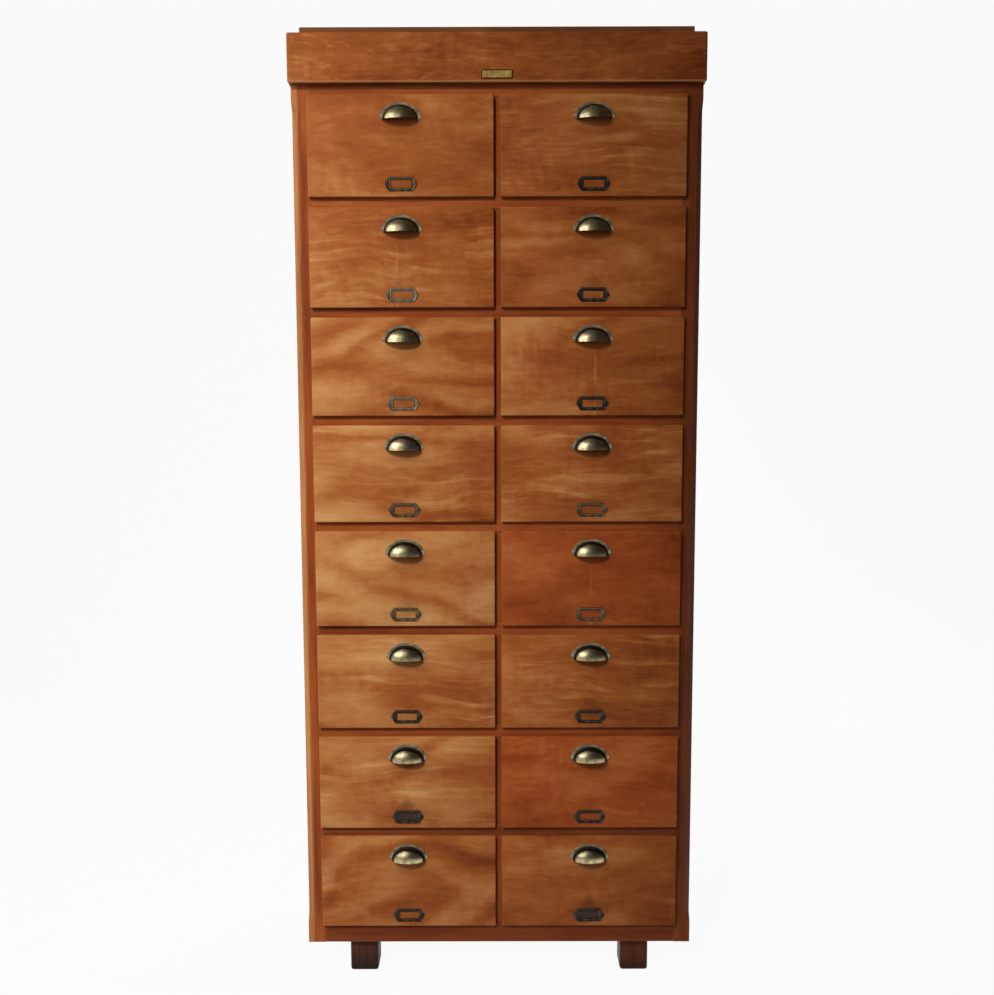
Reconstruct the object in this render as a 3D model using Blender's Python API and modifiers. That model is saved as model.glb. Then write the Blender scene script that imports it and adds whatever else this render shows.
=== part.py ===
"""Notary cabinet: two columns of lipped drawers in a framed wooden carcass.

Metres, +Z up, front towards -Y. The origin is on the floor, midway across the
cabinet's width and midway between the cup pulls' noses and the back panel.
"""

import math

import bmesh
import bpy
from mathutils import Matrix, Vector

OBJECT_NAME = "notary_cabinet"

# Carcass
CARCASS_WIDTH = 0.870
CARCASS_DEPTH = 0.400
SIDE_PANEL = 0.018
STILE_WIDTH = 0.038
FRAME_DEPTH = 0.045
DIVIDER = 0.022
DIVIDER_SETBACK = 0.002
BACK_PANEL = 0.008
BOTTOM_BOARD = 0.018

# Rows of drawers, counted from the top
ROWS = 8
OPENING_HEIGHT = 0.203
RAIL_HEIGHT = 0.0285
BOTTOM_RAIL_HEIGHT = 0.048
TOP_RAIL_SHOWN = 0.0257

# Runners: a ledge under each drawer side, with a guide strip above it
RUNNER_HEIGHT = 0.020
RUNNER_REACH = 0.014
GUIDE_HEIGHT = 0.040

# Stopped chamfer on the outer front edge of each side
CHAMFER_LEG = 0.012
CHAMFER_LEAD = 0.025
CHAMFER_TOP_STOP = 0.030
CHAMFER_BOTTOM_STOP = 0.045

# Cornice and top
CORNICE_HEIGHT = 0.1015
CORNICE_THICKNESS = 0.020
CORNICE_OVERHANG = 0.0035
CORNICE_ROUND = 0.004
TOP_BOARD_THICKNESS = 0.016
TOP_BOARD_INSET = 0.020

# Name plate on the cornice
PLATE_WIDTH = 0.065
PLATE_HEIGHT = 0.018
PLATE_THICKNESS = 0.002
PLATE_LIFT = 0.0065

# Block feet
FOOT_HEIGHT = 0.080
FOOT_WIDTH = 0.064
FOOT_INSET = 0.092
FOOT_SETBACK = 0.020
FOOT_ROUND = 0.006

# Drawers
FRONT_THICKNESS = 0.012
FRONT_OVERLAP = 0.004
FRONT_ROUND = 0.0025
DRAWER_PLAY = 0.0015
DRAWER_DEPTH = 0.350
DRAWER_HEIGHT = 0.180
DRAWER_WALL = 0.012
DRAWER_BOTTOM = 0.006
DRAWER_BOTTOM_LIFT = 0.010

# Cup pulls
PULL_WIDTH = 0.088
PULL_HEIGHT = 0.036
PULL_RIM = 0.005
PULL_FLANGE = 0.0016
PULL_PROJECTION = 0.024
PULL_WALL = 0.0015
PULL_DROP = 0.017
PULL_EAR_ROUND = 0.0055
PULL_EAR_STEPS = 3
PULL_STEPS = 24
PULL_BOWL_POINTS = 6
PULL_CREASE = math.radians(40)

# Label frames
LABEL_WIDTH = 0.070
LABEL_HEIGHT = 0.030
LABEL_POINT = 0.009
LABEL_WINDOW_WIDTH = 0.043
LABEL_WINDOW_HEIGHT = 0.016
LABEL_THICKNESS = 0.002
LABEL_LIFT = 0.0115

# Clearances and small roundings
SEAT_GAP = 0.0003
EDGE_EASE = 0.0012
WELD = 0.00001
OVERLAP = 0.001

# Places worked out from the sizes above
OVERALL_DEPTH = CARCASS_DEPTH + FRONT_THICKNESS + PULL_PROJECTION + 2 * SEAT_GAP
FACE_Y = OVERALL_DEPTH / 2 - CARCASS_DEPTH
BACK_Y = FACE_Y + CARCASS_DEPTH
BACK_PANEL_Y = BACK_Y - BACK_PANEL
BEHIND_FRAME_Y = FACE_Y + FRAME_DEPTH
HALF_WIDTH = CARCASS_WIDTH / 2
STILE_X = HALF_WIDTH - STILE_WIDTH
PANEL_X = HALF_WIDTH - SIDE_PANEL
OPENING_WIDTH = STILE_X - DIVIDER / 2
OPENING_X = (STILE_X + DIVIDER / 2) / 2
PITCH = OPENING_HEIGHT + RAIL_HEIGHT
LOWEST_OPENING_Z = FOOT_HEIGHT + BOTTOM_RAIL_HEIGHT
TOP_OPENING_Z = LOWEST_OPENING_Z + ROWS * PITCH - RAIL_HEIGHT
CORNICE_Z = TOP_OPENING_Z + TOP_RAIL_SHOWN
CORNICE_TOP_Z = CORNICE_Z + CORNICE_HEIGHT
CARCASS_TOP_Z = CORNICE_TOP_Z - SEAT_GAP
FRONT_WIDTH = OPENING_WIDTH + 2 * FRONT_OVERLAP
FRONT_HEIGHT = OPENING_HEIGHT + 2 * FRONT_OVERLAP


def clear_scene():
    """Remove every object of the open scene."""
    for obj in list(bpy.data.objects):
        bpy.data.objects.remove(obj)


def new_collection(name):
    """Add a collection to the scene."""
    collection = bpy.data.collections.new(name)
    bpy.context.scene.collection.children.link(collection)
    return collection


def new_material(name, colour, roughness, metallic=0.0):
    """A Principled BSDF material of one colour."""
    material = bpy.data.materials.new(name)
    material.use_nodes = True
    shader = material.node_tree.nodes["Principled BSDF"]
    shader.inputs["Base Color"].default_value = (*colour, 1.0)
    shader.inputs["Roughness"].default_value = roughness
    shader.inputs["Metallic"].default_value = metallic
    return material


def place(name, mesh, material=None, location=(0, 0, 0), collection=None):
    """Add an object that carries this mesh, as a part or in another collection."""
    obj = bpy.data.objects.new(name, mesh)
    obj.location = location
    if material is not None:
        mesh.materials.append(material)
    (collection or PARTS).objects.link(obj)
    return obj


def ease_edges(obj, width, segments=1):
    """Round an object's sharp edges."""
    bevel = obj.modifiers.new("eased_edges", "BEVEL")
    bevel.width = width
    bevel.segments = segments
    bevel.limit_method = "ANGLE"


def board(name, low, high, material=None, ease=EDGE_EASE, segments=1, collection=None):
    """A rectangular board between two corners, with eased edges."""
    low = Vector(low)
    high = Vector(high)
    mesh = bpy.data.meshes.new(name)
    shape = bmesh.new()
    bmesh.ops.create_cube(shape, size=1.0, matrix=Matrix.Diagonal((*(high - low), 1.0)))
    shape.to_mesh(mesh)
    shape.free()
    obj = place(name, mesh, material, (low + high) / 2, collection)
    if ease:
        ease_edges(obj, ease, segments)
    return obj


def evaluated_mesh(obj):
    """The mesh of an object with its modifiers applied."""
    bpy.context.view_layer.update()
    graph = bpy.context.evaluated_depsgraph_get()
    return bpy.data.meshes.new_from_object(obj.evaluated_get(graph))


def outline_mesh(name, outlines, thickness):
    """A flat plate with this outline and any windows, centred on the XY plane."""
    curve = bpy.data.curves.new(name, "CURVE")
    curve.dimensions = "2D"
    curve.fill_mode = "BOTH"
    curve.extrude = thickness / 2
    for outline in outlines:
        spline = curve.splines.new("POLY")
        spline.points.add(len(outline) - 1)
        for point, (x, y) in zip(spline.points, outline):
            point.co = (x, y, 0.0, 1.0)
        spline.use_cyclic_u = True
    guide = place(name, curve)
    mesh = evaluated_mesh(guide)
    bpy.data.objects.remove(guide)
    shape = bmesh.new()
    shape.from_mesh(mesh)
    bmesh.ops.remove_doubles(shape, verts=shape.verts, dist=WELD)
    bmesh.ops.recalc_face_normals(shape, faces=shape.faces)
    shape.to_mesh(mesh)
    shape.free()
    mesh.name = name
    mesh.materials.clear()
    return mesh


def upright(name, outline, low_y, high_y, material=None, collection=None):
    """A piece with this outline in the XZ plane, running from low_y to high_y."""
    mesh = outline_mesh(name, [outline], high_y - low_y)
    obj = place(name, mesh, material, (0, (low_y + high_y) / 2, 0), collection)
    obj.rotation_euler.x = math.pi / 2
    return obj


def boolean(obj, operation, other):
    """Cut a helper out of an object, or join it on, and hide the helper."""
    modifier = obj.modifiers.new(other.name, "BOOLEAN")
    modifier.operation = operation
    modifier.solver = "EXACT"
    modifier.material_mode = "TRANSFER"
    modifier.object = other
    other.hide_render = True
    other.display_type = "WIRE"


def opening_floor_z(row):
    """Height of the lower edge of a row's openings; row 1 is the top row."""
    return LOWEST_OPENING_Z + (ROWS - row) * PITCH


def runner_steps():
    """Outline points of the runners on a side's inner face, from the bottom up."""
    reach_x = STILE_X - RUNNER_REACH
    points = []
    for row in range(ROWS, 0, -1):
        ledge_z = opening_floor_z(row)
        points.append((PANEL_X, ledge_z - RUNNER_HEIGHT))
        points.append((reach_x, ledge_z - RUNNER_HEIGHT))
        points.append((reach_x, ledge_z))
        points.append((STILE_X, ledge_z))
        points.append((STILE_X, ledge_z + GUIDE_HEIGHT))
        points.append((PANEL_X, ledge_z + GUIDE_HEIGHT))
    return points


def stopped_chamfer(name, side):
    """Cutter for the chamfer on a side's outer front edge, with sloping ends."""
    depth = CHAMFER_LEG / math.sqrt(2)
    low_z = FOOT_HEIGHT + CHAMFER_BOTTOM_STOP
    high_z = CORNICE_Z - CHAMFER_TOP_STOP
    outline = [
        (-depth, low_z - CHAMFER_LEAD),
        (depth, low_z + CHAMFER_LEAD),
        (depth, high_z - CHAMFER_LEAD),
        (-depth, high_z + CHAMFER_LEAD),
    ]
    cutter = place(name, outline_mesh(name, [outline], 4 * CHAMFER_LEG), collection=CUTTERS)
    inward = Vector((-side, 1.0, 0.0)).normalized()
    upward = Vector((0.0, 0.0, 1.0))
    axes = Matrix((inward, upward, inward.cross(upward))).transposed()
    corner = Vector((side * HALF_WIDTH, FACE_Y, 0.0))
    cutter.matrix_world = Matrix.Translation(corner) @ axes.to_4x4()
    return cutter


def build_side(side_name, side):
    """One side: a panel with its runners, and a chamfered stile at its front."""
    bottom_z = FOOT_HEIGHT
    outline = [(side * HALF_WIDTH, bottom_z), (side * PANEL_X, bottom_z)]
    outline += [(side * x, z) for x, z in runner_steps()]
    outline += [(side * PANEL_X, CARCASS_TOP_Z), (side * HALF_WIDTH, CARCASS_TOP_Z)]
    panel_y = BEHIND_FRAME_Y + SEAT_GAP
    upright(f"side_{side_name}", outline, panel_y, BACK_PANEL_Y - SEAT_GAP, FRAME_WOOD)
    ends = sorted((side * HALF_WIDTH, side * STILE_X))
    stile = board(
        f"stile_{side_name}",
        (ends[0], FACE_Y, bottom_z),
        (ends[1], BEHIND_FRAME_Y, CARCASS_TOP_Z),
        FRAME_WOOD,
        ease=0,
    )
    boolean(stile, "DIFFERENCE", stopped_chamfer(f"chamfer_{side_name}", side))


def build_divider():
    """The upright between the columns, with runners, notched round the rails."""
    half = DIVIDER / 2
    behind_y = BEHIND_FRAME_Y + SEAT_GAP
    back_y = BACK_PANEL_Y - SEAT_GAP
    divider = board(
        "centre_divider",
        (-half, behind_y, FOOT_HEIGHT + BOTTOM_BOARD + SEAT_GAP),
        (half, back_y, CARCASS_TOP_Z),
        FRAME_WOOD,
        ease=0,
    )
    edging = half - SEAT_GAP
    reach = half + RUNNER_REACH
    for row in range(1, ROWS + 1):
        floor_z = opening_floor_z(row)
        tongue = board(
            f"divider_tongue_{row}",
            (-edging, FACE_Y + DIVIDER_SETBACK, floor_z + SEAT_GAP),
            (edging, behind_y + OVERLAP, floor_z + OPENING_HEIGHT - SEAT_GAP),
            ease=0,
            collection=CUTTERS,
        )
        runner = board(
            f"divider_runner_{row}",
            (-reach, behind_y + SEAT_GAP, floor_z - RUNNER_HEIGHT),
            (reach, back_y - SEAT_GAP, floor_z),
            ease=0,
            collection=CUTTERS,
        )
        boolean(divider, "UNION", tongue)
        boolean(divider, "UNION", runner)


def build_rails():
    """The frame's rails, each running between the stiles past the divider."""
    half = STILE_X - SEAT_GAP
    spans = {"bottom_rail": (FOOT_HEIGHT, LOWEST_OPENING_Z)}
    for row in range(1, ROWS):
        low_z = opening_floor_z(row) - RAIL_HEIGHT
        spans[f"rail_{row}"] = (low_z, low_z + RAIL_HEIGHT)
    spans["top_rail"] = (TOP_OPENING_Z, CARCASS_TOP_Z)
    for name, (low_z, high_z) in spans.items():
        board(name, (-half, FACE_Y, low_z), (half, BEHIND_FRAME_Y, high_z), FRAME_WOOD)


def build_casing():
    """The boards that close the carcass at the bottom and the back."""
    half = PANEL_X - SEAT_GAP
    board(
        "bottom_board",
        (-half, BEHIND_FRAME_Y + SEAT_GAP, FOOT_HEIGHT),
        (half, BACK_PANEL_Y - SEAT_GAP, FOOT_HEIGHT + BOTTOM_BOARD),
        PLAIN_WOOD,
    )
    board(
        "back_panel",
        (-HALF_WIDTH, BACK_PANEL_Y, FOOT_HEIGHT),
        (HALF_WIDTH, BACK_Y, CARCASS_TOP_Z),
        PLAIN_WOOD,
    )


def build_cornice():
    """The plank cornice round the top, the top board and the name plate."""
    outer = HALF_WIDTH + SEAT_GAP + CORNICE_OVERHANG
    board(
        "cornice_front",
        (-outer, FACE_Y - SEAT_GAP - CORNICE_THICKNESS, CORNICE_Z),
        (outer, FACE_Y - SEAT_GAP, CORNICE_TOP_Z),
        VENEER,
        CORNICE_ROUND,
        3,
    )
    for name, side in (("cornice_return_left", -1), ("cornice_return_right", 1)):
        ends = sorted((side * (HALF_WIDTH + SEAT_GAP), side * outer))
        board(
            name,
            (ends[0], FACE_Y, CORNICE_Z),
            (ends[1], BACK_Y, CORNICE_TOP_Z),
            VENEER,
        )
    half = HALF_WIDTH - TOP_BOARD_INSET
    board(
        "top_board",
        (-half, FACE_Y, CORNICE_TOP_Z),
        (half, BACK_Y, CORNICE_TOP_Z + TOP_BOARD_THICKNESS),
        FRAME_WOOD,
        2 * EDGE_EASE,
        2,
    )
    plate_y = FACE_Y - CORNICE_THICKNESS - 2 * SEAT_GAP
    plate_z = CORNICE_Z + PLATE_LIFT
    board(
        "name_plate",
        (-PLATE_WIDTH / 2, plate_y - PLATE_THICKNESS, plate_z),
        (PLATE_WIDTH / 2, plate_y, plate_z + PLATE_HEIGHT),
        BRASS,
        PLATE_THICKNESS / 4,
    )


def build_feet():
    """Four block feet, set in from the sides."""
    near_x = HALF_WIDTH - FOOT_INSET - FOOT_WIDTH
    for side_name, x in (("left", -near_x - FOOT_WIDTH), ("right", near_x)):
        front_y = FACE_Y + FOOT_SETBACK
        back_y = BACK_Y - FOOT_SETBACK - FOOT_WIDTH
        for end_name, y in (("front", front_y), ("rear", back_y)):
            board(
                f"foot_{end_name}_{side_name}",
                (x, y, 0),
                (x + FOOT_WIDTH, y + FOOT_WIDTH, FOOT_HEIGHT - SEAT_GAP),
                DARK_WOOD,
                FOOT_ROUND,
                2,
            )


def pointed_frame(half_width, half_height, point):
    """Six corners of a frame with a point at each end."""
    flat = half_width - point
    return [
        (half_width, 0),
        (flat, half_height),
        (-flat, half_height),
        (-half_width, 0),
        (-flat, -half_height),
        (flat, -half_height),
    ]


def build_label_frame():
    """The label frame: a plate with pointed ends and a window for the card."""
    window_x = LABEL_WINDOW_WIDTH / 2
    window_z = LABEL_WINDOW_HEIGHT / 2
    outlines = [
        pointed_frame(LABEL_WIDTH / 2, LABEL_HEIGHT / 2, LABEL_POINT),
        [
            (window_x, window_z),
            (window_x, -window_z),
            (-window_x, -window_z),
            (-window_x, window_z),
        ],
    ]
    mesh = outline_mesh("label_frame", outlines, LABEL_THICKNESS + OVERLAP)
    front_y = -SEAT_GAP - FRONT_THICKNESS
    location = (
        0,
        front_y + (OVERLAP - LABEL_THICKNESS) / 2,
        LABEL_LIFT + LABEL_HEIGHT / 2 - FRONT_OVERLAP,
    )
    frame = place("label_frame", mesh, BRONZE, location, CUTTERS)
    frame.rotation_euler.x = math.pi / 2
    return frame


def drawer_mesh():
    """One drawer, glued up: lipped front, sides, back, bottom and label frame.

    Its origin is in the frame's face, at the middle of its opening's lower edge.
    """
    half = OPENING_WIDTH / 2 - DRAWER_PLAY
    inner = half - DRAWER_WALL
    floor_z = SEAT_GAP + DRAWER_BOTTOM_LIFT
    high_z = SEAT_GAP + DRAWER_HEIGHT
    drawer = board(
        "drawer",
        (-half, -SEAT_GAP - OVERLAP, SEAT_GAP),
        (half, DRAWER_DEPTH, high_z),
        PLAIN_WOOD,
        ease=0,
        collection=CUTTERS,
    )
    inside = board(
        "drawer_inside",
        (-inner, DRAWER_WALL, floor_z + DRAWER_BOTTOM),
        (inner, DRAWER_DEPTH - DRAWER_WALL, high_z + OVERLAP),
        ease=0,
        collection=CUTTERS,
    )
    below = board(
        "drawer_underside",
        (-inner, DRAWER_WALL, SEAT_GAP - OVERLAP),
        (inner, DRAWER_DEPTH + OVERLAP, floor_z),
        ease=0,
        collection=CUTTERS,
    )
    lip = board(
        "drawer_lip",
        (-FRONT_WIDTH / 2, -SEAT_GAP - FRONT_THICKNESS, -FRONT_OVERLAP),
        (FRONT_WIDTH / 2, -SEAT_GAP, FRONT_HEIGHT - FRONT_OVERLAP),
        VENEER,
        FRONT_ROUND,
        2,
        CUTTERS,
    )
    boolean(drawer, "DIFFERENCE", inside)
    boolean(drawer, "DIFFERENCE", below)
    boolean(drawer, "UNION", lip)
    boolean(drawer, "UNION", build_label_frame())
    mesh = evaluated_mesh(drawer)
    mesh.transform(drawer.matrix_world)
    mesh.name = "drawer"
    drawer.hide_render = True
    drawer.display_type = "WIRE"
    return mesh


def bowl(radius, height):
    """Points of a quarter ellipse, from the nose at the axis out to the rim."""
    points = []
    for step in range(PULL_BOWL_POINTS + 1):
        angle = math.pi / 2 * step / PULL_BOWL_POINTS
        points.append((radius * math.sin(angle), height * math.cos(angle)))
    return points


def round_ears(mesh):
    """Round the lower corner of a cup pull's rim at each end."""
    shape = bmesh.new()
    shape.from_mesh(mesh)
    tip_x = PULL_WIDTH / 2 - WELD
    ears = [edge for edge in shape.edges if all(abs(corner.co.x) > tip_x for corner in edge.verts)]
    bmesh.ops.bevel(
        shape,
        geom=ears,
        offset=PULL_EAR_ROUND,
        segments=PULL_EAR_STEPS,
        profile=0.5,
        affect="EDGES",
    )
    shape.to_mesh(mesh)
    shape.free()


def pull_mesh():
    """A cup pull: half of a turned bowl with a flat rim, open underneath.

    Its origin is on the drawer front, at the middle of the open edge.
    """
    radius = PULL_HEIGHT - PULL_RIM
    rise = PULL_PROJECTION - PULL_FLANGE
    outer = [(r, PULL_FLANGE + h) for r, h in bowl(radius, rise)]
    rim = [(PULL_HEIGHT, PULL_FLANGE), (PULL_HEIGHT, 0.0)]
    inner = bowl(radius - PULL_WALL, PULL_PROJECTION - PULL_WALL)
    profile = outer + rim + inner[::-1]
    mesh = bpy.data.meshes.new("cup_pull")
    shape = bmesh.new()
    corners = [shape.verts.new((r, 0.0, h)) for r, h in profile]
    for first, second in zip(corners, corners[1:]):
        shape.edges.new((first, second))
    shape.to_mesh(mesh)
    shape.free()
    pull = place("cup_pull", mesh, BRASS, collection=CUTTERS)
    turn = pull.modifiers.new("turned_bowl", "SCREW")
    turn.axis = "Z"
    turn.steps = PULL_STEPS
    turn.render_steps = PULL_STEPS
    turn.use_merge_vertices = True
    turn.merge_threshold = WELD
    turned = place("turned_pull", evaluated_mesh(pull), collection=CUTTERS)
    bpy.data.objects.remove(pull)
    lower_half = board(
        "pull_lower_half",
        (-2 * PULL_HEIGHT, -2 * PULL_HEIGHT, -PULL_PROJECTION),
        (2 * PULL_HEIGHT, 0, 2 * PULL_PROJECTION),
        ease=0,
        collection=CUTTERS,
    )
    boolean(turned, "DIFFERENCE", lower_half)
    mesh = evaluated_mesh(turned)
    mesh.name = "cup_pull"
    widen = PULL_WIDTH / (2 * PULL_HEIGHT)
    stand = Matrix.Rotation(math.pi / 2, 4, "X")
    mesh.transform(stand @ Matrix.Diagonal((widen, 1.0, 1.0, 1.0)))
    round_ears(mesh)
    mesh.shade_smooth()
    mesh.set_sharp_from_angle(angle=PULL_CREASE)
    turned.hide_render = True
    turned.display_type = "WIRE"
    return mesh


def build_drawers():
    """Every drawer in its opening, with its cup pull."""
    drawer = drawer_mesh()
    pull = pull_mesh()
    pull_z = FRONT_HEIGHT - FRONT_OVERLAP - PULL_DROP - PULL_HEIGHT
    for row in range(1, ROWS + 1):
        for column, side in (("left", -1), ("right", 1)):
            location = (side * OPENING_X, FACE_Y, opening_floor_z(row))
            body = place(f"drawer_r{row}_{column}", drawer, location=location)
            handle = place(f"cup_pull_r{row}_{column}", pull)
            handle.parent = body
            handle.location = (0, -FRONT_THICKNESS - 2 * SEAT_GAP, pull_z)


clear_scene()
PARTS = new_collection(OBJECT_NAME)
CUTTERS = new_collection("cutters")
CUTTERS.hide_render = True
VENEER = new_material("honey_veneer", (0.38, 0.115, 0.028), 0.38)
FRAME_WOOD = new_material("red_brown_frame_wood", (0.21, 0.052, 0.016), 0.45)
PLAIN_WOOD = new_material("plain_inner_wood", (0.45, 0.27, 0.13), 0.65)
DARK_WOOD = new_material("dark_foot_wood", (0.045, 0.018, 0.011), 0.5)
BRASS = new_material("antique_brass", (0.42, 0.32, 0.16), 0.32, 1.0)
BRONZE = new_material("dark_bronze", (0.13, 0.095, 0.055), 0.42, 1.0)
build_side("left", -1)
build_side("right", 1)
build_divider()
build_rails()
build_casing()
build_cornice()
build_feet()
build_drawers()
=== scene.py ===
"""Looks of the notary cabinet: finishes, drawer pieces, brass fittings and studio.

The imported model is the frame. Carcass boards keep their solids and get a finish,
and every drawer, pull and plate is made again here with its finer detail. Metres,
+Z up, front towards -Y.
"""

import logging
import math
from dataclasses import dataclass, field
from enum import Enum
from typing import Callable, Dict, List, Mapping, Optional, Sequence, Set, Tuple, Union

import bmesh
import bpy
from mathutils import Matrix, Vector


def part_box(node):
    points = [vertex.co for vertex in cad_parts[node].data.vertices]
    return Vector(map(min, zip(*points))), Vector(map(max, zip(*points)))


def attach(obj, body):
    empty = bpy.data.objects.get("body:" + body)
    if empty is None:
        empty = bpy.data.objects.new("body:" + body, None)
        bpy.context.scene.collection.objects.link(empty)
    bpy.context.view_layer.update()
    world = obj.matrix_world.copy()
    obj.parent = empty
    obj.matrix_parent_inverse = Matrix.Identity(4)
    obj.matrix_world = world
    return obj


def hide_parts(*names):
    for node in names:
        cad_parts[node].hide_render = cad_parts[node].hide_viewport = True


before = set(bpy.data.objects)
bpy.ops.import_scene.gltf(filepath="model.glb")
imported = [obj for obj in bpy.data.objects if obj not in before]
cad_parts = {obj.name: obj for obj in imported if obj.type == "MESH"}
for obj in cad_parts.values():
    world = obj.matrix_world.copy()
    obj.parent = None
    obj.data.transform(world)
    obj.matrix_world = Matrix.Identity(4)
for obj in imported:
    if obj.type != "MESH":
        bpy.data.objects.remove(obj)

LOG = logging.getLogger("notary_cabinet")
IMAGE_HEIGHT = 995
CARCASS = "carcass"
SLOT_SHARE = 0.14

Colour = Tuple[float, float, float]
Point = Tuple[float, float, float]
Flat = Tuple[float, float]
Operand = Union["Term", float, Tuple[float, ...]]
Key = Union[str, int]
Owner = Union[bpy.types.Material, bpy.types.World]


class Term:
    """One output of a shader graph that can be used in a Python expression."""

    def __init__(self, graph: "Graph", socket: bpy.types.NodeSocket) -> None:
        """Wrap a socket of a graph."""
        self.graph = graph
        self.socket = socket

    def _combine(self, operation: str, other: Operand, swapped: bool = False) -> "Term":
        """Add the node that joins this term with another one.

        Args:
            operation: name of the operation, as the maths nodes have it.
            other: the second term, number or vector.
            swapped: True where the other one comes first.

        Returns:
            The node's result.
        """
        pair = (other, self) if swapped else (self, other)
        if self.socket.type == "RGBA":
            settings = {"data_type": "RGBA", "blend_type": operation}
            inputs = {0: 1.0, 6: pair[0], 7: pair[1]}
            return self.graph.node("ShaderNodeMix", settings, inputs, 2)
        if self.socket.type != "VECTOR":
            return self.graph.node("ShaderNodeMath", {"operation": operation}, dict(enumerate(pair)))
        if isinstance(other, tuple) or (isinstance(other, Term) and other.socket.type == "VECTOR"):
            return self.graph.node("ShaderNodeVectorMath", {"operation": operation}, dict(enumerate(pair)))
        return self.graph.node("ShaderNodeVectorMath", {"operation": "SCALE"}, {0: self, "Scale": other})

    def __add__(self, other: Operand) -> "Term":
        """Sum."""
        return self._combine("ADD", other)

    def __radd__(self, other: Operand) -> "Term":
        """Sum, this term second."""
        return self._combine("ADD", other, True)

    def __sub__(self, other: Operand) -> "Term":
        """Difference."""
        return self._combine("SUBTRACT", other)

    def __rsub__(self, other: Operand) -> "Term":
        """Difference, this term second."""
        return self._combine("SUBTRACT", other, True)

    def __mul__(self, other: Operand) -> "Term":
        """Product."""
        return self._combine("MULTIPLY", other)

    def __rmul__(self, other: Operand) -> "Term":
        """Product, this term second."""
        return self._combine("MULTIPLY", other, True)

    def __truediv__(self, other: Operand) -> "Term":
        """Quotient."""
        return self._combine("DIVIDE", other)

    def __rtruediv__(self, other: Operand) -> "Term":
        """Quotient, this term second."""
        return self._combine("DIVIDE", other, True)

    def __abs__(self) -> "Term":
        """Size without its sign."""
        return self.graph.node("ShaderNodeMath", {"operation": "ABSOLUTE"}, {0: self})

    def fraction(self) -> "Term":
        """What is left after whole numbers are taken off."""
        return self.graph.node("ShaderNodeMath", {"operation": "FRACT"}, {0: self})

    def above(self, low: float, high: float) -> "Term":
        """A soft step: 0 below low, 1 above high."""
        settings = {"interpolation_type": "SMOOTHSTEP"}
        return self.graph.node("ShaderNodeMapRange", settings, {"Value": self, 1: low, 2: high})


class Grain(Enum):
    """Which way a board's fibres run."""

    ACROSS = ("X", "Z", "Y")
    UPRIGHT = ("Z", "X", "Y")
    DEEP = ("Y", "X", "Z")
    OWN = ()


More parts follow.
